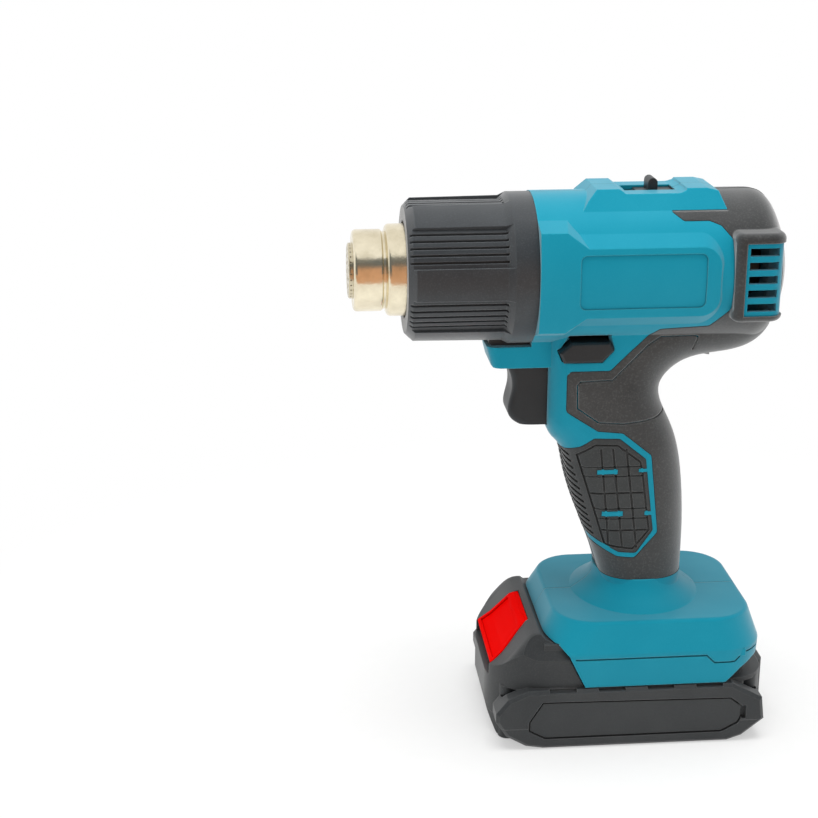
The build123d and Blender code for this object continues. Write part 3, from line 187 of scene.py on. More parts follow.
def metal(name, colour, deep, rough, draw_mm, draw_axis="X", mottle=0.0, tint=None, satin_depth_mm=0.004):
    """Bare or plated metal.

    Drawing and polishing leave marks along one axis, draw_mm wide, and slow patches of gloss. The real marks
    are under 0.05 mm, and draw_mm is as coarse as they need to show. mottle is how far the patches go to the
    deep colour. tint is (colour, cold_mm, hot_mm): the heat colour that grows along the axis.
    """
    material, tree, place = start_material(name)
    stretch = {"X": (1.0, 0.04, 0.04), "Y": (0.04, 1.0, 0.04), "Z": (0.04, 0.04, 1.0)}[draw_axis]
    along = add(tree, "VectorMath", {0: place, 1: stretch}, operation="MULTIPLY")
    marks = add(tree, "TexNoise", {"Vector": along.outputs[0], "Scale": pattern_scale(draw_mm),
                                   "Detail": 2.0})
    patches = add(tree, "TexNoise", {"Vector": place, "Scale": pattern_scale(GLOSS_PATCH_MM), "Detail": 5.0,
                                     "Roughness": 0.62})
    satin = add(tree, "TexNoise", {"Vector": place, "Scale": pattern_scale(SATIN_MM), "Detail": 2.0})
    darker = add(tree, "MapRange", {"Value": patches.outputs[0], "From Min": 0.35, "From Max": 0.7,
                                    "To Min": 0.0, "To Max": mottle})
    shown = add(tree, "MixRGB", {"Fac": darker.outputs[0], "Color1": linear(colour), "Color2": linear(deep)})
    if tint:
        heat_colour, cold_mm, hot_mm = tint
        split = add(tree, "SeparateXYZ", {0: place})
        waver = add(tree, "Math", {0: patches.outputs[0], 1: HEAT_WAVER_MM * MM, 2: split.outputs["X"]},
                    operation="MULTIPLY_ADD")
        heat = add(tree, "MapRange", {"Value": waver.outputs[0], "From Min": cold_mm * MM,
                                      "From Max": hot_mm * MM, "To Min": 0.0, "To Max": 0.75})
        shown = add(tree, "MixRGB", {"Fac": heat.outputs[0], "Color1": shown.outputs[0],
                                     "Color2": linear(heat_colour)})
    rounded = add(tree, "Bevel", {"Radius": METAL_EDGE_MM * MM}, samples=BEVEL_SAMPLES)
    bump = add(tree, "Bump", {"Height": marks.outputs[0], "Distance": DRAW_DEPTH_MM * MM,
                              "Strength": 1.0, "Normal": rounded.outputs[0]})
    bump = add(tree, "Bump", {"Height": satin.outputs[0], "Distance": satin_depth_mm * MM, "Strength": 1.0,
                              "Normal": bump.outputs[0]})
    gloss = add(tree, "MapRange", {"Value": patches.outputs[0], "From Min": 0.3, "From Max": 0.7,
                                   "To Min": rough * 0.75, "To Max": rough * 1.35})
    shader = add(tree, "BsdfPrincipled", {"Base Color": shown.outputs[0], "Roughness": gloss.outputs[0],
                                          "Metallic": 1.0, "Normal": bump.outputs[0]})
    add(tree, "OutputMaterial", {"Surface": shader.outputs[0]})
    return material


def circuit_board(name):
    """Glass-epoxy board: solder mask over copper tracks, which show as paler lines, with tinned pads.

    The tracks are drawn ten times as coarse as real ones, so that they show.
    """
    material, tree, place = start_material(name)
    tracks = add(tree, "TexBrick", {"Vector": place, "Scale": pattern_scale(12), "Mortar Size": 0.035,
                                    "Color1": linear("#0b4a26"), "Color2": linear("#0d5a30"),
                                    "Mortar": linear("#177a45")})
    pads = add(tree, "TexVoronoi", {"Vector": place, "Scale": pattern_scale(3.2)})
    pad = add(tree, "MapRange", {"Value": pads.outputs["Distance"], "From Min": 0.16, "From Max": 0.20,
                                 "To Min": 1.0, "To Max": 0.0})
    shown = add(tree, "MixRGB", {"Fac": pad.outputs[0], "Color1": tracks.outputs["Color"],
                                 "Color2": linear("#b9bcb8")})
    shader = add(tree, "BsdfPrincipled", {"Base Color": shown.outputs[0], "Roughness": 0.28, "IOR": 1.55})
    add(tree, "OutputMaterial", {"Surface": shader.outputs[0]})
    return material


def shrink_wrap(name, colour, folded):
    """PVC sleeve shrunk on a steel cell: glossy, with faint lengthwise stretch marks."""
    material, tree, place = start_material(name)
    along = add(tree, "VectorMath", {0: place, 1: (1.0, 0.05, 1.0)}, operation="MULTIPLY")
    marks = add(tree, "TexNoise", {"Vector": along.outputs[0], "Scale": pattern_scale(1.6), "Detail": 3.0})
    shown = add(tree, "MixRGB", {"Fac": marks.outputs[0], "Color1": linear(colour), "Color2": linear(folded)})
    bump = add(tree, "Bump", {"Height": marks.outputs[0], "Distance": 0.03 * MM, "Strength": 1.0})
    shader = add(tree, "BsdfPrincipled", {"Base Color": shown.outputs[0], "Roughness": 0.22, "IOR": 1.53,
                                          "Normal": bump.outputs[0]})
    add(tree, "OutputMaterial", {"Surface": shader.outputs[0]})
    return material


def mica_sheet(name):
    """Pressed mica: pale brown flakes with a silky glint."""
    material, tree, place = start_material(name)
    flakes = add(tree, "TexVoronoi", {"Vector": place, "Scale": pattern_scale(2.4)})
    shown = add(tree, "MixRGB", {"Fac": flakes.outputs["Distance"], "Color1": linear("#c9bfa2"),
                                 "Color2": linear("#8f8468")})
    bump = add(tree, "Bump", {"Height": flakes.outputs["Distance"], "Distance": 0.04 * MM, "Strength": 1.0})
    shader = add(tree, "BsdfPrincipled", {"Base Color": shown.outputs[0], "Roughness": 0.45, "IOR": 1.58,
                                          "Normal": bump.outputs[0]})
    add(tree, "OutputMaterial", {"Surface": shader.outputs[0]})
    return material


# in each moulded finish the second colour is the paler tone of the flow marks, the grain's peaks and the
# painted highlight on the corners, and deep is the colour of the painted shade in grooves
# ABS housing: deep even teal with a satin skin, paler where light skims it, and paler along its corners, part
# wear and part painted highlight
teal_abs = moulded("teal_moulded_abs", "#00869e", "#35aabe", 0.42, 0.40, 0.012, ior=1.54, edge_mm=0.7,
                   seam=True, mirror=0.08, speckle=0.10, dust=0.28, deep="#013a45", crevice_mm=1.0)
teal_abs_grille = moulded("teal_moulded_abs_grille", "#00829a", "#2ba3b8", 0.42, 0.40, 0.012, ior=1.54,
                          edge_mm=0.35, mirror=0.08, speckle=0.08, dust=0.28, deep="#013a45", crevice_mm=1.0)
# soft thermoplastic rubber over the housing: matt and coarse-grained, it goes grey where light skims it
grip_tpe = moulded("dark_overmoulded_tpe", "#0f1315", "#6a6b69", 0.60, 0.75, 0.055, ior=1.5, edge_mm=0.8,
                   mirror=0.7, speckle=0.24, dust=0.6)
pad_tpe = moulded("dark_ribbed_tpe", "#272b2c", "#666766", 0.55, 0.65, 0.040, ior=1.5, edge_mm=0.5,
                  mirror=0.4, speckle=0.20, dust=0.20)
# glass-filled nylon round the heater: near black, with the fibres as a rough pale speckle
sleeve_nylon = moulded("black_glass_filled_nylon", "#171d22", "#5c6266", 0.46, 0.60, 0.035, ior=1.53,
                       edge_mm=0.5, mirror=0.50, speckle=0.16, dust=0.38)
# plain nylon: black and smooth where a finger slides on it, duller where nobody sees it
trigger_nylon = moulded("black_moulded_nylon", "#1f2326", "#4c4f50", 0.42, 0.40, 0.015, ior=1.53, edge_mm=0.7,
                        mirror=0.35, speckle=0.08)
inner_nylon = moulded("black_unpolished_nylon", "#1c1d1e", "#3a3b3c", 0.55, 0.25, 0.012, ior=1.53,
                      edge_mm=0.3)
# PC-ABS battery case: charcoal with an even grain, its side bars a little smoother
case_pc_abs = moulded("charcoal_moulded_pc_abs", "#25282a", "#626363", 0.48, 0.50, 0.032, ior=1.56,
                      edge_mm=0.6, mirror=0.35, speckle=0.16, dust=0.10, deep="#0c0d0e")
panel_pc_abs = moulded("charcoal_satin_pc_abs", "#25282a", "#5a5b5a", 0.42, 0.45, 0.020, ior=1.56,
                       edge_mm=0.4, mirror=0.35, speckle=0.12, dust=0.10, deep="#0c0d0e")
# red ABS button: a full flat red with hardly any shine
red_abs = moulded("red_moulded_abs", "#fa0200", "#ff1208", 0.55, 0.30, 0.008, ior=1.54, edge_mm=0.5,
                  mirror=0.01, deep="#6a0000", crevice_mm=0.8)
# acetal: waxy off-white; polycarbonate: cool grey, cleaner and a bit glossier than ABS
hook_pom = moulded("white_moulded_acetal", "#dcdad2", "#f2f1ec", 0.35, 0.30, 0.006, ior=1.48, edge_mm=0.3)
holder_pc = moulded("grey_moulded_polycarbonate", "#8b8f91", "#a9adaf", 0.40, 0.30, 0.008, ior=1.58,
                    edge_mm=0.3)
# polished stainless tube: bright and slightly wavy, straw coloured towards the hot rear
outlet_steel = metal("polished_stainless_steel", "#f0e6cc", "#bcae8e", 0.20, 0.35, mottle=0.45,
                     tint=("#b48a55", 70, 30), satin_depth_mm=0.030)
# punched and folded sheets: duller than the tube, with grey patches
guard_steel = metal("punched_stainless_steel", "#d4cab0", "#8f8468", 0.22, 0.15, mottle=0.4)
flange_steel = metal("bare_steel_sheet", "#b5b2ab", "#8a8780", 0.30, 0.15, mottle=0.3)
# nichrome that has glowed: a dull brown-grey oxide
coil_wire = metal("oxidised_nichrome_wire", "#6d655c", "#3d3833", 0.45, 0.10, mottle=0.5)
# zinc plate is pale and even, phosphate a dark matt grey, spring wire bright, black oxide oily and dark
plated_steel = metal("zinc_plated_steel", "#c3c4c6", "#8f9194", 0.26, 0.12, mottle=0.3)
motor_steel = metal("phosphated_steel", "#5c5e60", "#3c3e40", 0.40, 0.12, mottle=0.3)
spring_wire = metal("bright_spring_wire", "#b9babd", "#85878b", 0.22, 0.08, draw_axis="Z", mottle=0.2)
black_screw = metal("black_oxide_steel", "#3b3b3d", "#232325", 0.38, 0.12, draw_axis="Y", mottle=0.3)
# tinned brass: a warm silver
blade_brass = metal("tinned_brass", "#d8d2c0", "#a89f84", 0.24, 0.10, mottle=0.3)
board_green = circuit_board("green_glass_epoxy_board")
cell_wrap = shrink_wrap("blue_shrunk_pvc", "#1f5f9e", "#2f74b5")
mica = mica_sheet("pressed_mica")

FINISH_OF_NODE = {
    "housing_left": teal_abs, "housing_right": teal_abs,
    "rear_grip_left": grip_tpe, "rear_grip_right": grip_tpe,
    "finger_pad_left": pad_tpe, "finger_pad_right": pad_tpe,
    "vent_grille_left": teal_abs_grille, "vent_grille_right": teal_abs_grille,
    "housing_screws": black_screw, "front_sleeve": sleeve_nylon,
    "outlet_tube": outlet_steel, "outlet_guard": guard_steel,
    "heater_liner": mica, "heating_coil": coil_wire, "heater_core": mica, "heater_flange": flange_steel,
    "fan_duct": inner_nylon, "motor": motor_steel, "motor_mount": inner_nylon, "motor_shaft": plated_steel,
    "fan_impeller": inner_nylon, "selector_board": board_green, "selector_switch": inner_nylon,
    "selector_knob": trigger_nylon, "trigger": trigger_nylon, "switch_plunger": inner_nylon,
    "trigger_switch": inner_nylon, "trigger_spring": spring_wire, "lock_button": trigger_nylon,
    "control_board": board_green, "terminal_block": inner_nylon, "terminal_blades": blade_brass,
    "battery_upper_case": case_pc_abs, "battery_lower_case": case_pc_abs,
    "battery_panel_left": panel_pc_abs, "battery_panel_right": panel_pc_abs,
    "battery_cells": cell_wrap, "cell_holder": holder_pc, "battery_screws": black_screw,
    "battery_board": board_green, "battery_terminals": blade_brass,
    "release_button": red_abs, "latch_hook": hook_pom, "latch_spring": spring_wire,
}
for node_name, material in FINISH_OF_NODE.items():
    piece = nodes[node_name]
    piece.data.materials.clear()
    piece.data.materials.append(material)


# ------------------------------------------------------------------ shapes in general
WELD = 0.001 * MM         # corners closer than this are one


def welded(node):
    """A CAD node's mesh with its faces joined along their edges."""
    shape = bmesh.new()
    shape.from_mesh(nodes[node].data)
    bmesh.ops.remove_doubles(shape, verts=shape.verts, dist=WELD)
    return shape


def skin_loops(shape, loops, closed=False):
    """Faces from each loop of corners to the next. A closed run meets its start, an open one gets caps."""
    for loop, following in zip(loops, loops[1:] + loops[:1] if closed else loops[1:]):
        for i in range(len(loop)):
            j = (i + 1) % len(loop)
            shape.faces.new((loop[i], loop[j], following[j], following[i]))
    if not closed:
        shape.faces.new(reversed(loops[0]))
        shape.faces.new(loops[-1])
    bmesh.ops.recalc_face_normals(shape, faces=shape.faces)


def as_object(shape, name):
    """Turns a shape into an object of the scene."""
    data = bpy.data.meshes.new(name)
    shape.to_mesh(data)
    shape.free()
    made = bpy.data.objects.new(name, data)
    scene.collection.objects.link(made)
    return made


def stand_in(shape, name, material, node, body, smooth_deg=None):
    """Makes a shape into the piece that stands for a CAD node on its body.

    With smooth_deg its faces are shaded as one curve, apart from edges that bend by more.
    """
    if smooth_deg:
        for face in shape.faces:
            face.smooth = True
        for edge in shape.edges:
            if len(edge.link_faces) == 2 and edge.calc_face_angle() > math.radians(smooth_deg):
                edge.smooth = False
    made = as_object(shape, name)
    made.data.materials.append(material)
    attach(made, body)
    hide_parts(node)
    return made


# ------------------------------------------------------------------ screws
ROUND_STEPS = 30          # a multiple of LOBES, so that every lobe of the drive has the same points
LOBES, LOBE_DEPTH = 6, 0.17
DRIVE_DEPTH = 1.2 * MM
DRIVE_SHARE = 0.46        # the drive's radius, as a share of the head's
HEAD_LONG = 2 * MM
THREAD_PITCH = 1.3 * MM
THREAD_DEPTH = 0.32 * MM
RINGS_PER_TURN = 6
POINT_TURNS = 2.2         # turns of thread over which the point tapers


def loose_boxes(node):
    """Lowest and highest corner of each separate solid of a CAD node."""
    shape = welded(node)
    waiting = set(shape.verts)
    boxes = []
    while waiting:
        to_follow = [waiting.pop()]
        island = set(to_follow)
        while to_follow:
            for edge in to_follow.pop().link_edges:
                for corner in waiting.intersection(edge.verts):
                    waiting.remove(corner)
                    island.add(corner)
                    to_follow.append(corner)
        boxes.append([Vector([pick(v.co[i] for v in island) for i in range(3)]) for pick in (min, max)])
    shape.free()
    return sorted(boxes, key=lambda box: tuple(round(value, 5) for value in box[0]))


def screw_rings(head_r, shank_r, long):
    """Rings of (distance, radius at an angle) from the bottom of the drive, over the head, to the point."""
    def lobed(radius):
        return lambda turn: radius * (1 + LOBE_DEPTH * math.cos(LOBES * turn))

    def plain(radius):
        return lambda turn: radius

    drive_r = DRIVE_SHARE * head_r
    rings = [(DRIVE_DEPTH, lobed(0.8 * drive_r)), (0.12 * HEAD_LONG, lobed(drive_r)),
             (0.0, lobed(1.12 * drive_r)), (0.0, plain(0.80 * head_r)),
             (0.10 * HEAD_LONG, plain(0.93 * head_r)), (0.35 * HEAD_LONG, plain(head_r)),
             (HEAD_LONG, plain(head_r)), (HEAD_LONG, plain(shank_r))]
    count = int((long - HEAD_LONG) / THREAD_PITCH * RINGS_PER_TURN)
    for step in range(1, count):
        distance = HEAD_LONG + step * THREAD_PITCH / RINGS_PER_TURN
        taper = min(1.0, 0.35 + (long - distance) / (POINT_TURNS * THREAD_PITCH))

        def threaded(turn, distance=distance, taper=taper):
            ridge = abs(((distance / THREAD_PITCH - turn / TAU) % 1.0) * 2 - 1)
            return taper * (shank_r - THREAD_DEPTH * (1 - ridge ** 2))
        rings.append((distance, threaded))
    return rings


def screw(shape, middle, inward, head_r, shank_r, long):
    """Adds one thread-forming screw with a six-lobe drive, its head's top at middle, pointing inward."""
    turned = inward.to_track_quat("Z", "Y").to_matrix()
    loops = []
    for distance, radius_at in screw_rings(head_r, shank_r, long):
        loop = []
        for step in range(ROUND_STEPS):
            turn = TAU * step / ROUND_STEPS
            radius = radius_at(turn)
            offset = Vector((radius * math.cos(turn), radius * math.sin(turn), distance))
            loop.append(shape.verts.new(middle + turned @ offset))
        loops.append(loop)
    skin_loops(shape, loops)


def screw_set(node, body, axis, shank_r_mm):
    """Screws with drives and threads in the place of a CAD node's plain ones. They point up the axis."""
    shape = bmesh.new()
    inward = Vector([float(i == axis) for i in range(3)])
    across = min({0, 1, 2} - {axis})
    for low, high in loose_boxes(node):
        middle = (low + high) / 2
        middle[axis] = low[axis]
        head_r, long = (high[across] - low[across]) / 2, high[axis] - low[axis]
        screw(shape, middle, inward, head_r, shank_r_mm * MM, long)
    stand_in(shape, node + "_detailed", black_screw, node, body)


screw_set("housing_screws", "gun", 1, 1.5)
screw_set("battery_screws", "battery", 2, 1.4)


# ------------------------------------------------------------------ outlet: spun tube and pierced guard
TUBE_LOW, TUBE_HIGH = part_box("outlet_tube")
GUARD_LOW, GUARD_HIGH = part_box("outlet_guard")
AXIS_HEIGHT = (TUBE_LOW[2] + TUBE_HIGH[2]) / 2
TUBE_REAR, TUBE_TIP = TUBE_LOW[0], TUBE_HIGH[0]
TUBE_R = (TUBE_HIGH[2] - TUBE_LOW[2]) / 2
GUARD_REAR, GUARD_FACE = GUARD_LOW[0], GUARD_HIGH[0]
SPOUT_R, NECK_R, LIP_R, GUARD_R = 16.0 * MM, 15.1 * MM, 11.5 * MM, 10.9 * MM
SPOUT_LONG = 12.2 * MM
SHOULDER_BEND, SPOUT_BEND, MOUTH_BEND = 1.9 * MM, 0.8 * MM, 1.6 * MM
SHEET = 0.8 * MM
PLAY = 0.05 * MM
AXIS_GAP = 0.05 * MM      # the guard's face stops this short of the axis, where its corners would meet
TUBE_STEPS, GUARD_STEPS = 96, 72
HOLE_RINGS_MM = ((3.3, 6, 0.9), (6.4, 12, 0.9), (8.9, 20, 0.7))    # ring's radius, holes, hole's radius
EDGE_HOLES, EDGE_HOLE_R, EDGE_ROW_BACK = 30, 0.28 * MM, 0.9 * MM


def arc(along, out, radius, start, stop, steps=6):
    """Points (along, out) of an arc, angles in degrees from the outlet's axis."""
    turns = [math.radians(start + (stop - start) * i / steps) for i in range(steps + 1)]
    return [(along + radius * math.cos(turn), out + radius * math.sin(turn)) for turn in turns]


def spun(profile, steps):
    """Closed profile of (along, out) points turned once round the outlet's axis."""
    shape = bmesh.new()
    turns = [TAU * i / steps for i in range(steps)]
    loops = [[shape.verts.new((along, out * math.cos(turn), AXIS_HEIGHT + out * math.sin(turn)))
              for turn in turns] for along, out in profile]
    skin_loops(shape, loops, closed=True)
    return shape


def spun_tube():
    """Outlet tube: rolled lip, straight spout for push-on nozzles, a neck, and the wider rear."""
    neck = TUBE_TIP - SPOUT_LONG
    outer = [(TUBE_REAR, TUBE_R)]
    outer += arc(neck - 2.4 * MM, TUBE_R - SHOULDER_BEND, SHOULDER_BEND, 90, 0)
    outer += [(neck - 0.2 * MM, NECK_R)]
    outer += arc(neck + 1.6 * MM, SPOUT_R - SPOUT_BEND, SPOUT_BEND, 180, 90)
    outer += arc(TUBE_TIP - MOUTH_BEND, SPOUT_R - MOUTH_BEND, MOUTH_BEND, 90, 0)
    lip = arc(TUBE_TIP - SHEET / 2, LIP_R, SHEET / 2, 0, -180, 4)
    inner = [(TUBE_TIP - SHEET, SPOUT_R - MOUTH_BEND), (TUBE_TIP - 1.8 * MM, SPOUT_R - SHEET),
             (neck + 1.0 * MM, SPOUT_R - SHEET), (neck - 0.2 * MM, NECK_R - SHEET),
             (neck - 1.3 * MM, TUBE_R - 2.6 * MM), (neck - 2.8 * MM, TUBE_R - SHEET),
             (TUBE_REAR, TUBE_R - SHEET)]
    return spun(outer + lip + inner, TUBE_STEPS)


def drilled(shape, drills):
    """A shape with the drills cut out of it."""
    whole, cutters = as_object(shape, "drilling"), as_object(drills, "drilling")
    cut = whole.modifiers.new("drill", "BOOLEAN")
    cut.operation, cut.solver, cut.object = "DIFFERENCE", "EXACT", cutters
    bpy.context.view_layer.update()
    result = bmesh.new()
    result.from_mesh(whole.evaluated_get(bpy.context.evaluated_depsgraph_get()).to_mesh())
    bpy.data.objects.remove(whole)
    bpy.data.objects.remove(cutters)
    return result


def pierced_guard():
    """Pressed cup in the outlet, with rings of holes in its face and one row round its edge.

    The drills stay clear of each other, because cutters that overlap can take the whole face with them.
    """
    seat, root = SPOUT_R - SHEET - PLAY, GUARD_REAR + SHEET
    cup = [(GUARD_REAR, seat), (root, seat), (root, GUARD_R)]
    cup += arc(GUARD_FACE - SHEET, GUARD_R - SHEET, SHEET, 90, 0, 4)
    cup += [(GUARD_FACE, AXIS_GAP), (GUARD_FACE - SHEET, AXIS_GAP), (GUARD_FACE - SHEET, GUARD_R - SHEET),
            (GUARD_REAR, GUARD_R - SHEET)]
    drills = bmesh.new()
    forward = Matrix.Rotation(math.pi / 2, 4, "Y")
    for ring_mm, count, hole_mm in HOLE_RINGS_MM:
        for i in range(count):
            turn = TAU * (i + 0.5) / count
            place = Matrix.Translation((GUARD_FACE, ring_mm * MM * math.cos(turn),
                                        AXIS_HEIGHT + ring_mm * MM * math.sin(turn)))
            bmesh.ops.create_cone(drills, cap_ends=True, segments=12, radius1=hole_mm * MM,
                                  radius2=hole_mm * MM, depth=3 * MM, matrix=place @ forward)
    row = Matrix.Translation((GUARD_FACE - EDGE_ROW_BACK, 0, AXIS_HEIGHT))
    rim = Matrix.Translation((0, 0, GUARD_R))
    for i in range(EDGE_HOLES):
        place = row @ Matrix.Rotation(TAU * i / EDGE_HOLES, 4, "X") @ rim
        bmesh.ops.create_cone(drills, cap_ends=True, segments=8, radius1=EDGE_HOLE_R, radius2=EDGE_HOLE_R,
                              depth=2 * MM, matrix=place)
    return drilled(spun(cup, GUARD_STEPS), drills)


stand_in(spun_tube(), "outlet_tube_spun", outlet_steel, "outlet_tube", "gun", 35)
stand_in(pierced_guard(), "outlet_guard_pierced", guard_steel, "outlet_guard", "gun", 35)


# ------------------------------------------------------------------ coil springs
WIRE_STEPS, TURN_STEPS = 8, 24


def coil_spring(node, axis, turns, wire_r_mm, body):
    """Wound compression spring in the place of a CAD node.
    """
    low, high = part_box(node)
    middle = [(a + b) / 2 for a, b in zip(low, high)]
    first, second = [i for i in range(3) if i != axis]
    wire = wire_r_mm * MM
    coil_r = (high[second] - low[second]) / 2 - wire
    shape = bmesh.new()
    loops = []
    count = turns * TURN_STEPS
    for step in range(count + 1):
        turn = TAU * step / TURN_STEPS
        along = low[axis] + wire + (high[axis] - low[axis] - 2 * wire) * step / count
        loop = []
        for i in range(WIRE_STEPS):
            round_wire = TAU * i / WIRE_STEPS
            out = coil_r + wire * math.cos(round_wire)
            place = [0.0, 0.0, 0.0]
            place[axis] = along + wire * math.sin(round_wire)
            place[first] = middle[first] + out * math.cos(turn)
            place[second] = middle[second] + out * math.sin(turn)
            loop.append(shape.verts.new(place))
        loops.append(loop)
    skin_loops(shape, loops)
    made = stand_in(shape, node + "_wound", spring_wire, node, body, 35)
    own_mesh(made)


coil_spring("trigger_spring", 0, 5, 0.35, "gun")
coil_spring("latch_spring", 2, 4, 0.22, "battery")


# ------------------------------------------------------------------ finger pads with their tiles
# outline of the tiles seen from the side, as (x, z), and the heights of the channels between their rows
TILE_FIELD_MM = ((22.2, 119.2), (9.6, 80.2), (-1.5, 78.7), (-7.8, 86.7), (-4.1, 111.9), (-3.2, 116),
                 (6.4, 123.3), (15.5, 123.7), (20.5, 120.5))
CHANNEL_HEIGHTS_MM = (114.2, 110.2, 96.2, 91.9)
CHANNEL_WIDE, CHANNEL_DEEP = 0.8 * MM, 0.55 * MM
CUT_NEAR, CUT_BEYOND = 4 * MM, 1 * MM      # how near a channel, and how far past its ends, faces are cut
OUTWARD = 0.3             # a face whose normal has more than this of the side's direction is on the outside


def channel_ends(height_mm):
    """Where a level line enters and leaves the tile field, in millimetres."""
    crossings = []
    for (x1, z1), (x2, z2) in zip(TILE_FIELD_MM, TILE_FIELD_MM[1:] + TILE_FIELD_MM[:1]):
        if (z1 - height_mm) * (z2 - height_mm) < 0:
            crossings.append(x1 + (x2 - x1) * (height_mm - z1) / (z2 - z1))
    return min(crossings), max(crossings)


def tiled_pad(node):
    """The pad with V-shaped channels between its rows of tiles."""
    shape = welded(node)
    side = 1 if sum(corner[1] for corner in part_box(node)) > 0 else -1
    for height_mm in CHANNEL_HEIGHTS_MM:
        height = height_mm * MM
        left, right = (end * MM for end in channel_ends(height_mm))
        # three cuts, for the channel's two lips and its bottom, and then the bottom sinks
        for offset in (-CHANNEL_WIDE / 2, 0.0, CHANNEL_WIDE / 2):
            faces = []
            for face in shape.faces:
                centre = face.calc_center_median()
                if (face.normal.y * side > OUTWARD and abs(centre.z - height) < CUT_NEAR
                        and left - CUT_BEYOND < centre.x < right + CUT_BEYOND):
                    faces.append(face)
            around = {v for f in faces for v in f.verts} | {e for f in faces for e in f.edges} | set(faces)
            bmesh.ops.bisect_plane(shape, geom=list(around), dist=WELD / 10, plane_co=(0, 0, height + offset),
                                   plane_no=(0, 0, 1))
        for corner in shape.verts:
            if abs(corner.co.z - height) < WELD and left < corner.co.x < right:
                if any(f.normal.y * side > OUTWARD for f in corner.link_faces):
                    corner.co.y -= side * CHANNEL_DEEP
        shape.normal_update()
    bmesh.ops.triangulate(shape, faces=[f for f in shape.faces if len(f.verts) > 4])
    return shape


for pad in ("finger_pad_left", "finger_pad_right"):
    stand_in(tiled_pad(pad), pad + "_tiled", pad_tpe, pad, "gun", 30)


# ------------------------------------------------------------------ dark lines of painted shade round the over-moulding
BEAD_R = 0.17 * MM
JOINT_REACH = 0.5 * MM        # a neighbour's wall that is nearer than this makes a joint
SKY_REACH = 50 * MM           # with nothing nearer than this over it, a skin is open
CLEAR_OF_SKIN, INTO_PIECE = 0.3 * MM, 0.08 * MM    # where rays start: off the skin, and in from the edge
LEAST_BEND = math.radians(40)                      # an edge that bends by less is no corner
SHORTEST_RUN = 2 * MM                              # a run that is shorter gets no bead
SKIN_NODES = ("housing_left", "housing_right", "rear_grip_left", "rear_grip_right", "finger_pad_left",
              "finger_pad_right", "vent_grille_left", "vent_grille_right", "front_sleeve", "lock_button")


def skin_tree(names):
    """Ray tester for some CAD nodes together."""
    shape = bmesh.new()
    for name in names:
        shape.from_mesh(nodes[name].data)
    tree = BVHTree.FromBMesh(shape)
    shape.free()
    return tree


def joint_edges(node):
    """Edges where the node's open skin meets a wall that a neighbour covers."""
    neighbours = skin_tree([name for name in SKIN_NODES if name != node])
    everything = skin_tree(SKIN_NODES)
    shape = welded(node)
    pairs = []
    for edge in shape.edges:
        if len(edge.link_faces) != 2 or edge.calc_face_angle() < LEAST_BEND:
            continue
        spot = (edge.verts[0].co + edge.verts[1].co) / 2
        faces_middle = sum((f.calc_center_median() for f in edge.link_faces), Vector()) / 2
        start = spot + (faces_middle - spot).normalized() * INTO_PIECE
        for skin, wall in (edge.link_faces, reversed(edge.link_faces)):
            over = everything.ray_cast(start + skin.normal * CLEAR_OF_SKIN, skin.normal, SKY_REACH)[0]
            beside = neighbours.ray_cast(start, wall.normal, JOINT_REACH)[0]
            if over is None and beside is not None:
                pairs.append(tuple(tuple(round(c, 7) for c in v.co) for v in edge.verts))
                break
    shape.free()
    return pairs


def chains(pairs):
    """Joins edges end to end into lists of points."""
    beside = {}
    for a, b in sorted(pairs):
        beside.setdefault(a, []).append(b)
        beside.setdefault(b, []).append(a)
    runs = []
    # open runs from their ends first, then what is left, which is closed
    for from_ends in (True, False):
        for start in sorted(beside):
            while beside[start] and (len(beside[start]) != 2 or not from_ends):
                run = [start]
                while beside[run[-1]]:
                    here = run[-1]
                    after = beside[here].pop(0)
                    beside[after].remove(here)
                    run.append(after)
                runs.append(run)
    return runs


def painted_gap_shade(node):
    """Fine dark bead along the joint, painted shade: it stands in for the shade in the gap where the soft
    skin meets its neighbour.
    """
    data = bpy.data.curves.new("gap_shade_bead_" + node, "CURVE")
    data.dimensions = "3D"
    data.bevel_depth, data.bevel_resolution = BEAD_R, 1
    for run in chains(joint_edges(node)):
        if sum((Vector(b) - Vector(a)).length for a, b in zip(run, run[1:])) < SHORTEST_RUN:
            continue
        spline = data.splines.new("POLY")
        spline.points.add(len(run) - 1)
        for point, place in zip(spline.points, run):
            point.co = (*place, 1)
    made = bpy.data.objects.new("gap_shade_bead_" + node, data)
    data.materials.append(inner_nylon)
    scene.collection.objects.link(made)
    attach(made, "gun")


# painted shade: a dark bead along each soft skin's joint, in the place of the gap's shade
for node_name in ("rear_grip_left", "rear_grip_right", "finger_pad_left", "finger_pad_right"):
    painted_gap_shade(node_name)


# ------------------------------------------------------------------ floor, world and lamps
WHITE = linear("#ffffff")
ROOM_WARM, ROOM_GREY = linear("#daaa89"), linear("#6f7376")    # what polished steel mirrors of the room
WALL_GREY = (0.50, 0.50, 0.50, 1)                              # what the room's walls send onto the object
BENCH_FRONT = 0.42        # metres: where the white bench ends, in front of the object
BENCH_EDGE = 0.03
FLOOR_R = 14
PAPER_WHITE_FROM, PAPER_WHITE_TO = 0.10, 0.34                  # metres from the middle: its shadow fades out


def seen_directly(tree):
    """1 for what the eye sees straight, or in metal and glass, and 0 for light that falls on the object."""
    path = add(tree, "LightPath")
    mirrored = add(tree, "Math", {0: path.outputs["Is Glossy Ray"], 1: path.outputs["Is Transmission Ray"]},
                   operation="MAXIMUM")
    return add(tree, "Math", {0: path.outputs["Is Camera Ray"], 1: mirrored.outputs[0]},
               operation="MAXIMUM").outputs[0]


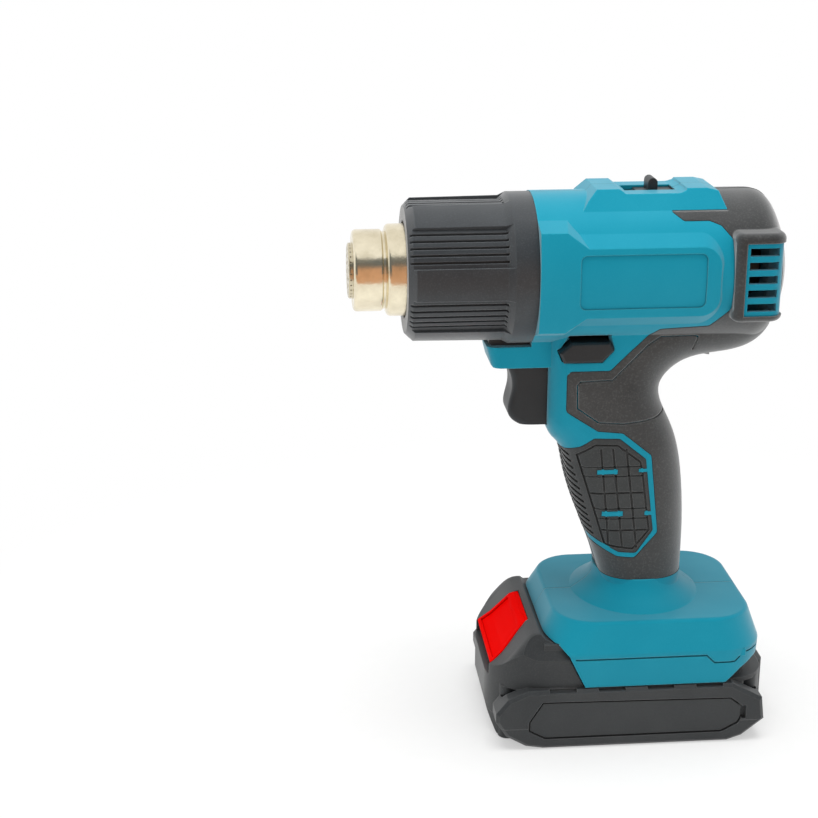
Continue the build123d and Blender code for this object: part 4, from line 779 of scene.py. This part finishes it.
def floor_material():
    """Matt paper sweep: even and white, with the object's soft shadow. Steel mirrors its front end warm."""
    material, tree, place = start_material("white_paper_sweep")
    fibre = add(tree, "TexNoise", {"Vector": place, "Scale": pattern_scale(6), "Detail": 3.0})
    shown = add(tree, "MixRGB", {"Fac": fibre.outputs[0], "Color1": linear("#f1f1f0"),
                                 "Color2": linear("#f5f5f4")})
    paper = add(tree, "BsdfPrincipled", {"Base Color": shown.outputs[0], "Roughness": 0.9,
                                         "Specular IOR Level": 0.1})
    away = add(tree, "VectorMath", {0: place}, operation="LENGTH")
    fade = add(tree, "MapRange", {"Value": away.outputs["Value"], "From Min": PAPER_WHITE_FROM,
                                  "From Max": PAPER_WHITE_TO, "To Min": 0.45, "To Max": 1.0})
    share = add(tree, "Math", {0: seen_directly(tree), 1: fade.outputs[0]}, operation="MULTIPLY")
    split = add(tree, "SeparateXYZ", {0: place})
    bench_end = add(tree, "MapRange", {"Value": split.outputs["Y"], "From Min": BENCH_FRONT,
                                       "From Max": BENCH_FRONT + BENCH_EDGE, "To Min": 0.0, "To Max": 1.0})
    path = add(tree, "LightPath")
    mirrored_room = add(tree, "Math", {0: bench_end.outputs[0], 1: path.outputs["Is Glossy Ray"]},
                        operation="MULTIPLY")
    tone = add(tree, "MixRGB", {"Fac": mirrored_room.outputs[0], "Color1": WHITE, "Color2": ROOM_WARM})
    white = add(tree, "Emission", {"Color": tone.outputs[0], "Strength": 1.0})
    surface = add(tree, "MixShader", {0: share.outputs[0], 1: paper.outputs[0], 2: white.outputs[0]})
    add(tree, "OutputMaterial", {"Surface": surface.outputs[0]})
    return material


def stage_floor():
    """Round floor under the object, wide enough to fill every view."""
    shape = bmesh.new()
    bmesh.ops.create_circle(shape, cap_ends=True, segments=96, radius=FLOOR_R)
    floor = as_object(shape, "floor")
    floor.data.materials.append(floor_material())


def stage_world():
    """Pale room: white overhead and behind the object, greyer on the side that the light comes from.

    The eye sees plain white. Polished steel mirrors a dim room in front of the bench: warm low down, grey
    above and to the sides, and a white ceiling over it.
    """
    world = bpy.data.worlds.new("pale_room")
    scene.world = world
    world.use_nodes = True
    tree = world.node_tree
    tree.nodes.clear()
    facing = add(tree, "SeparateXYZ", {0: add(tree, "TexCoord").outputs["Generated"]})
    side = add(tree, "MapRange", {"Value": facing.outputs["Y"], "From Min": 0.1, "From Max": 0.95,
                                  "To Min": 1.0, "To Max": 0.28})
    above = add(tree, "MapRange", {"Value": facing.outputs["Z"], "From Min": 0.25, "From Max": 0.8,
                                   "To Min": 0.0, "To Max": 1.0})
    room = add(tree, "Math", {0: side.outputs[0], 1: above.outputs[0]}, operation="MAXIMUM")
    room_light = add(tree, "Background", {"Color": WALL_GREY, "Strength": room.outputs[0]})
    front = add(tree, "MapRange", {"Value": facing.outputs["Y"], "From Min": 0.10, "From Max": 0.35,
                                   "To Min": 0.0, "To Max": 1.0})
    high = add(tree, "MapRange", {"Value": facing.outputs["Z"], "From Min": 0.33, "From Max": 0.38,
                                  "To Min": 0.0, "To Max": 1.0})
    sideways = add(tree, "Math", {0: facing.outputs["X"]}, operation="ABSOLUTE")
    wide = add(tree, "MapRange", {"Value": sideways.outputs[0], "From Min": 0.22, "From Max": 0.34,
                                  "To Min": 0.0, "To Max": 1.0})
    grey = add(tree, "Math", {0: high.outputs[0], 1: wide.outputs[0]}, operation="MAXIMUM")
    under_ceiling = add(tree, "MapRange", {"Value": facing.outputs["Z"], "From Min": 0.68, "From Max": 0.74,
                                           "To Min": 1.0, "To Max": 0.0})
    room_tone = add(tree, "MixRGB", {"Fac": grey.outputs[0], "Color1": ROOM_WARM, "Color2": ROOM_GREY})
    path = add(tree, "LightPath")
    dim = add(tree, "Math", {0: front.outputs[0], 1: under_ceiling.outputs[0]}, operation="MULTIPLY")
    dim = add(tree, "Math", {0: dim.outputs[0], 1: path.outputs["Is Glossy Ray"]}, operation="MULTIPLY")
    tone = add(tree, "MixRGB", {"Fac": dim.outputs[0], "Color1": WHITE, "Color2": room_tone.outputs[0]})
    backdrop = add(tree, "Background", {"Color": tone.outputs[0], "Strength": 1.0})
    shown = add(tree, "MixShader", {0: seen_directly(tree), 1: room_light.outputs[0],
                                    2: backdrop.outputs[0]})
    add(tree, "OutputWorld", {"Surface": shown.outputs[0]})


def softbox(name, place, target, width, height, watts):
    """Rectangular area lamp aimed at a point. It leaves no highlight of its own on gloss and metal."""
    data = bpy.data.lights.new(name, "AREA")
    data.shape = "RECTANGLE"
    data.size, data.size_y = width, height
    data.energy = watts
    lamp = bpy.data.objects.new(name, data)
    lamp.location = place
    lamp.rotation_euler = (Vector(target) - Vector(place)).to_track_quat("-Z", "Y").to_euler()
    lamp.visible_glossy = False
    scene.collection.objects.link(lamp)


stage_floor()
stage_world()
aim = (0.03, 0.0, 0.12)
softbox("overhead_softbox", (0.05, 0.05, 1.25), aim, 0.9, 0.8, 14.0)
softbox("key_softbox", (0.45, 1.25, 0.75), aim, 0.9, 0.9, 4.6)
softbox("fill_softbox", (-0.9, 1.0, 0.5), aim, 0.9, 0.9, 2.0)
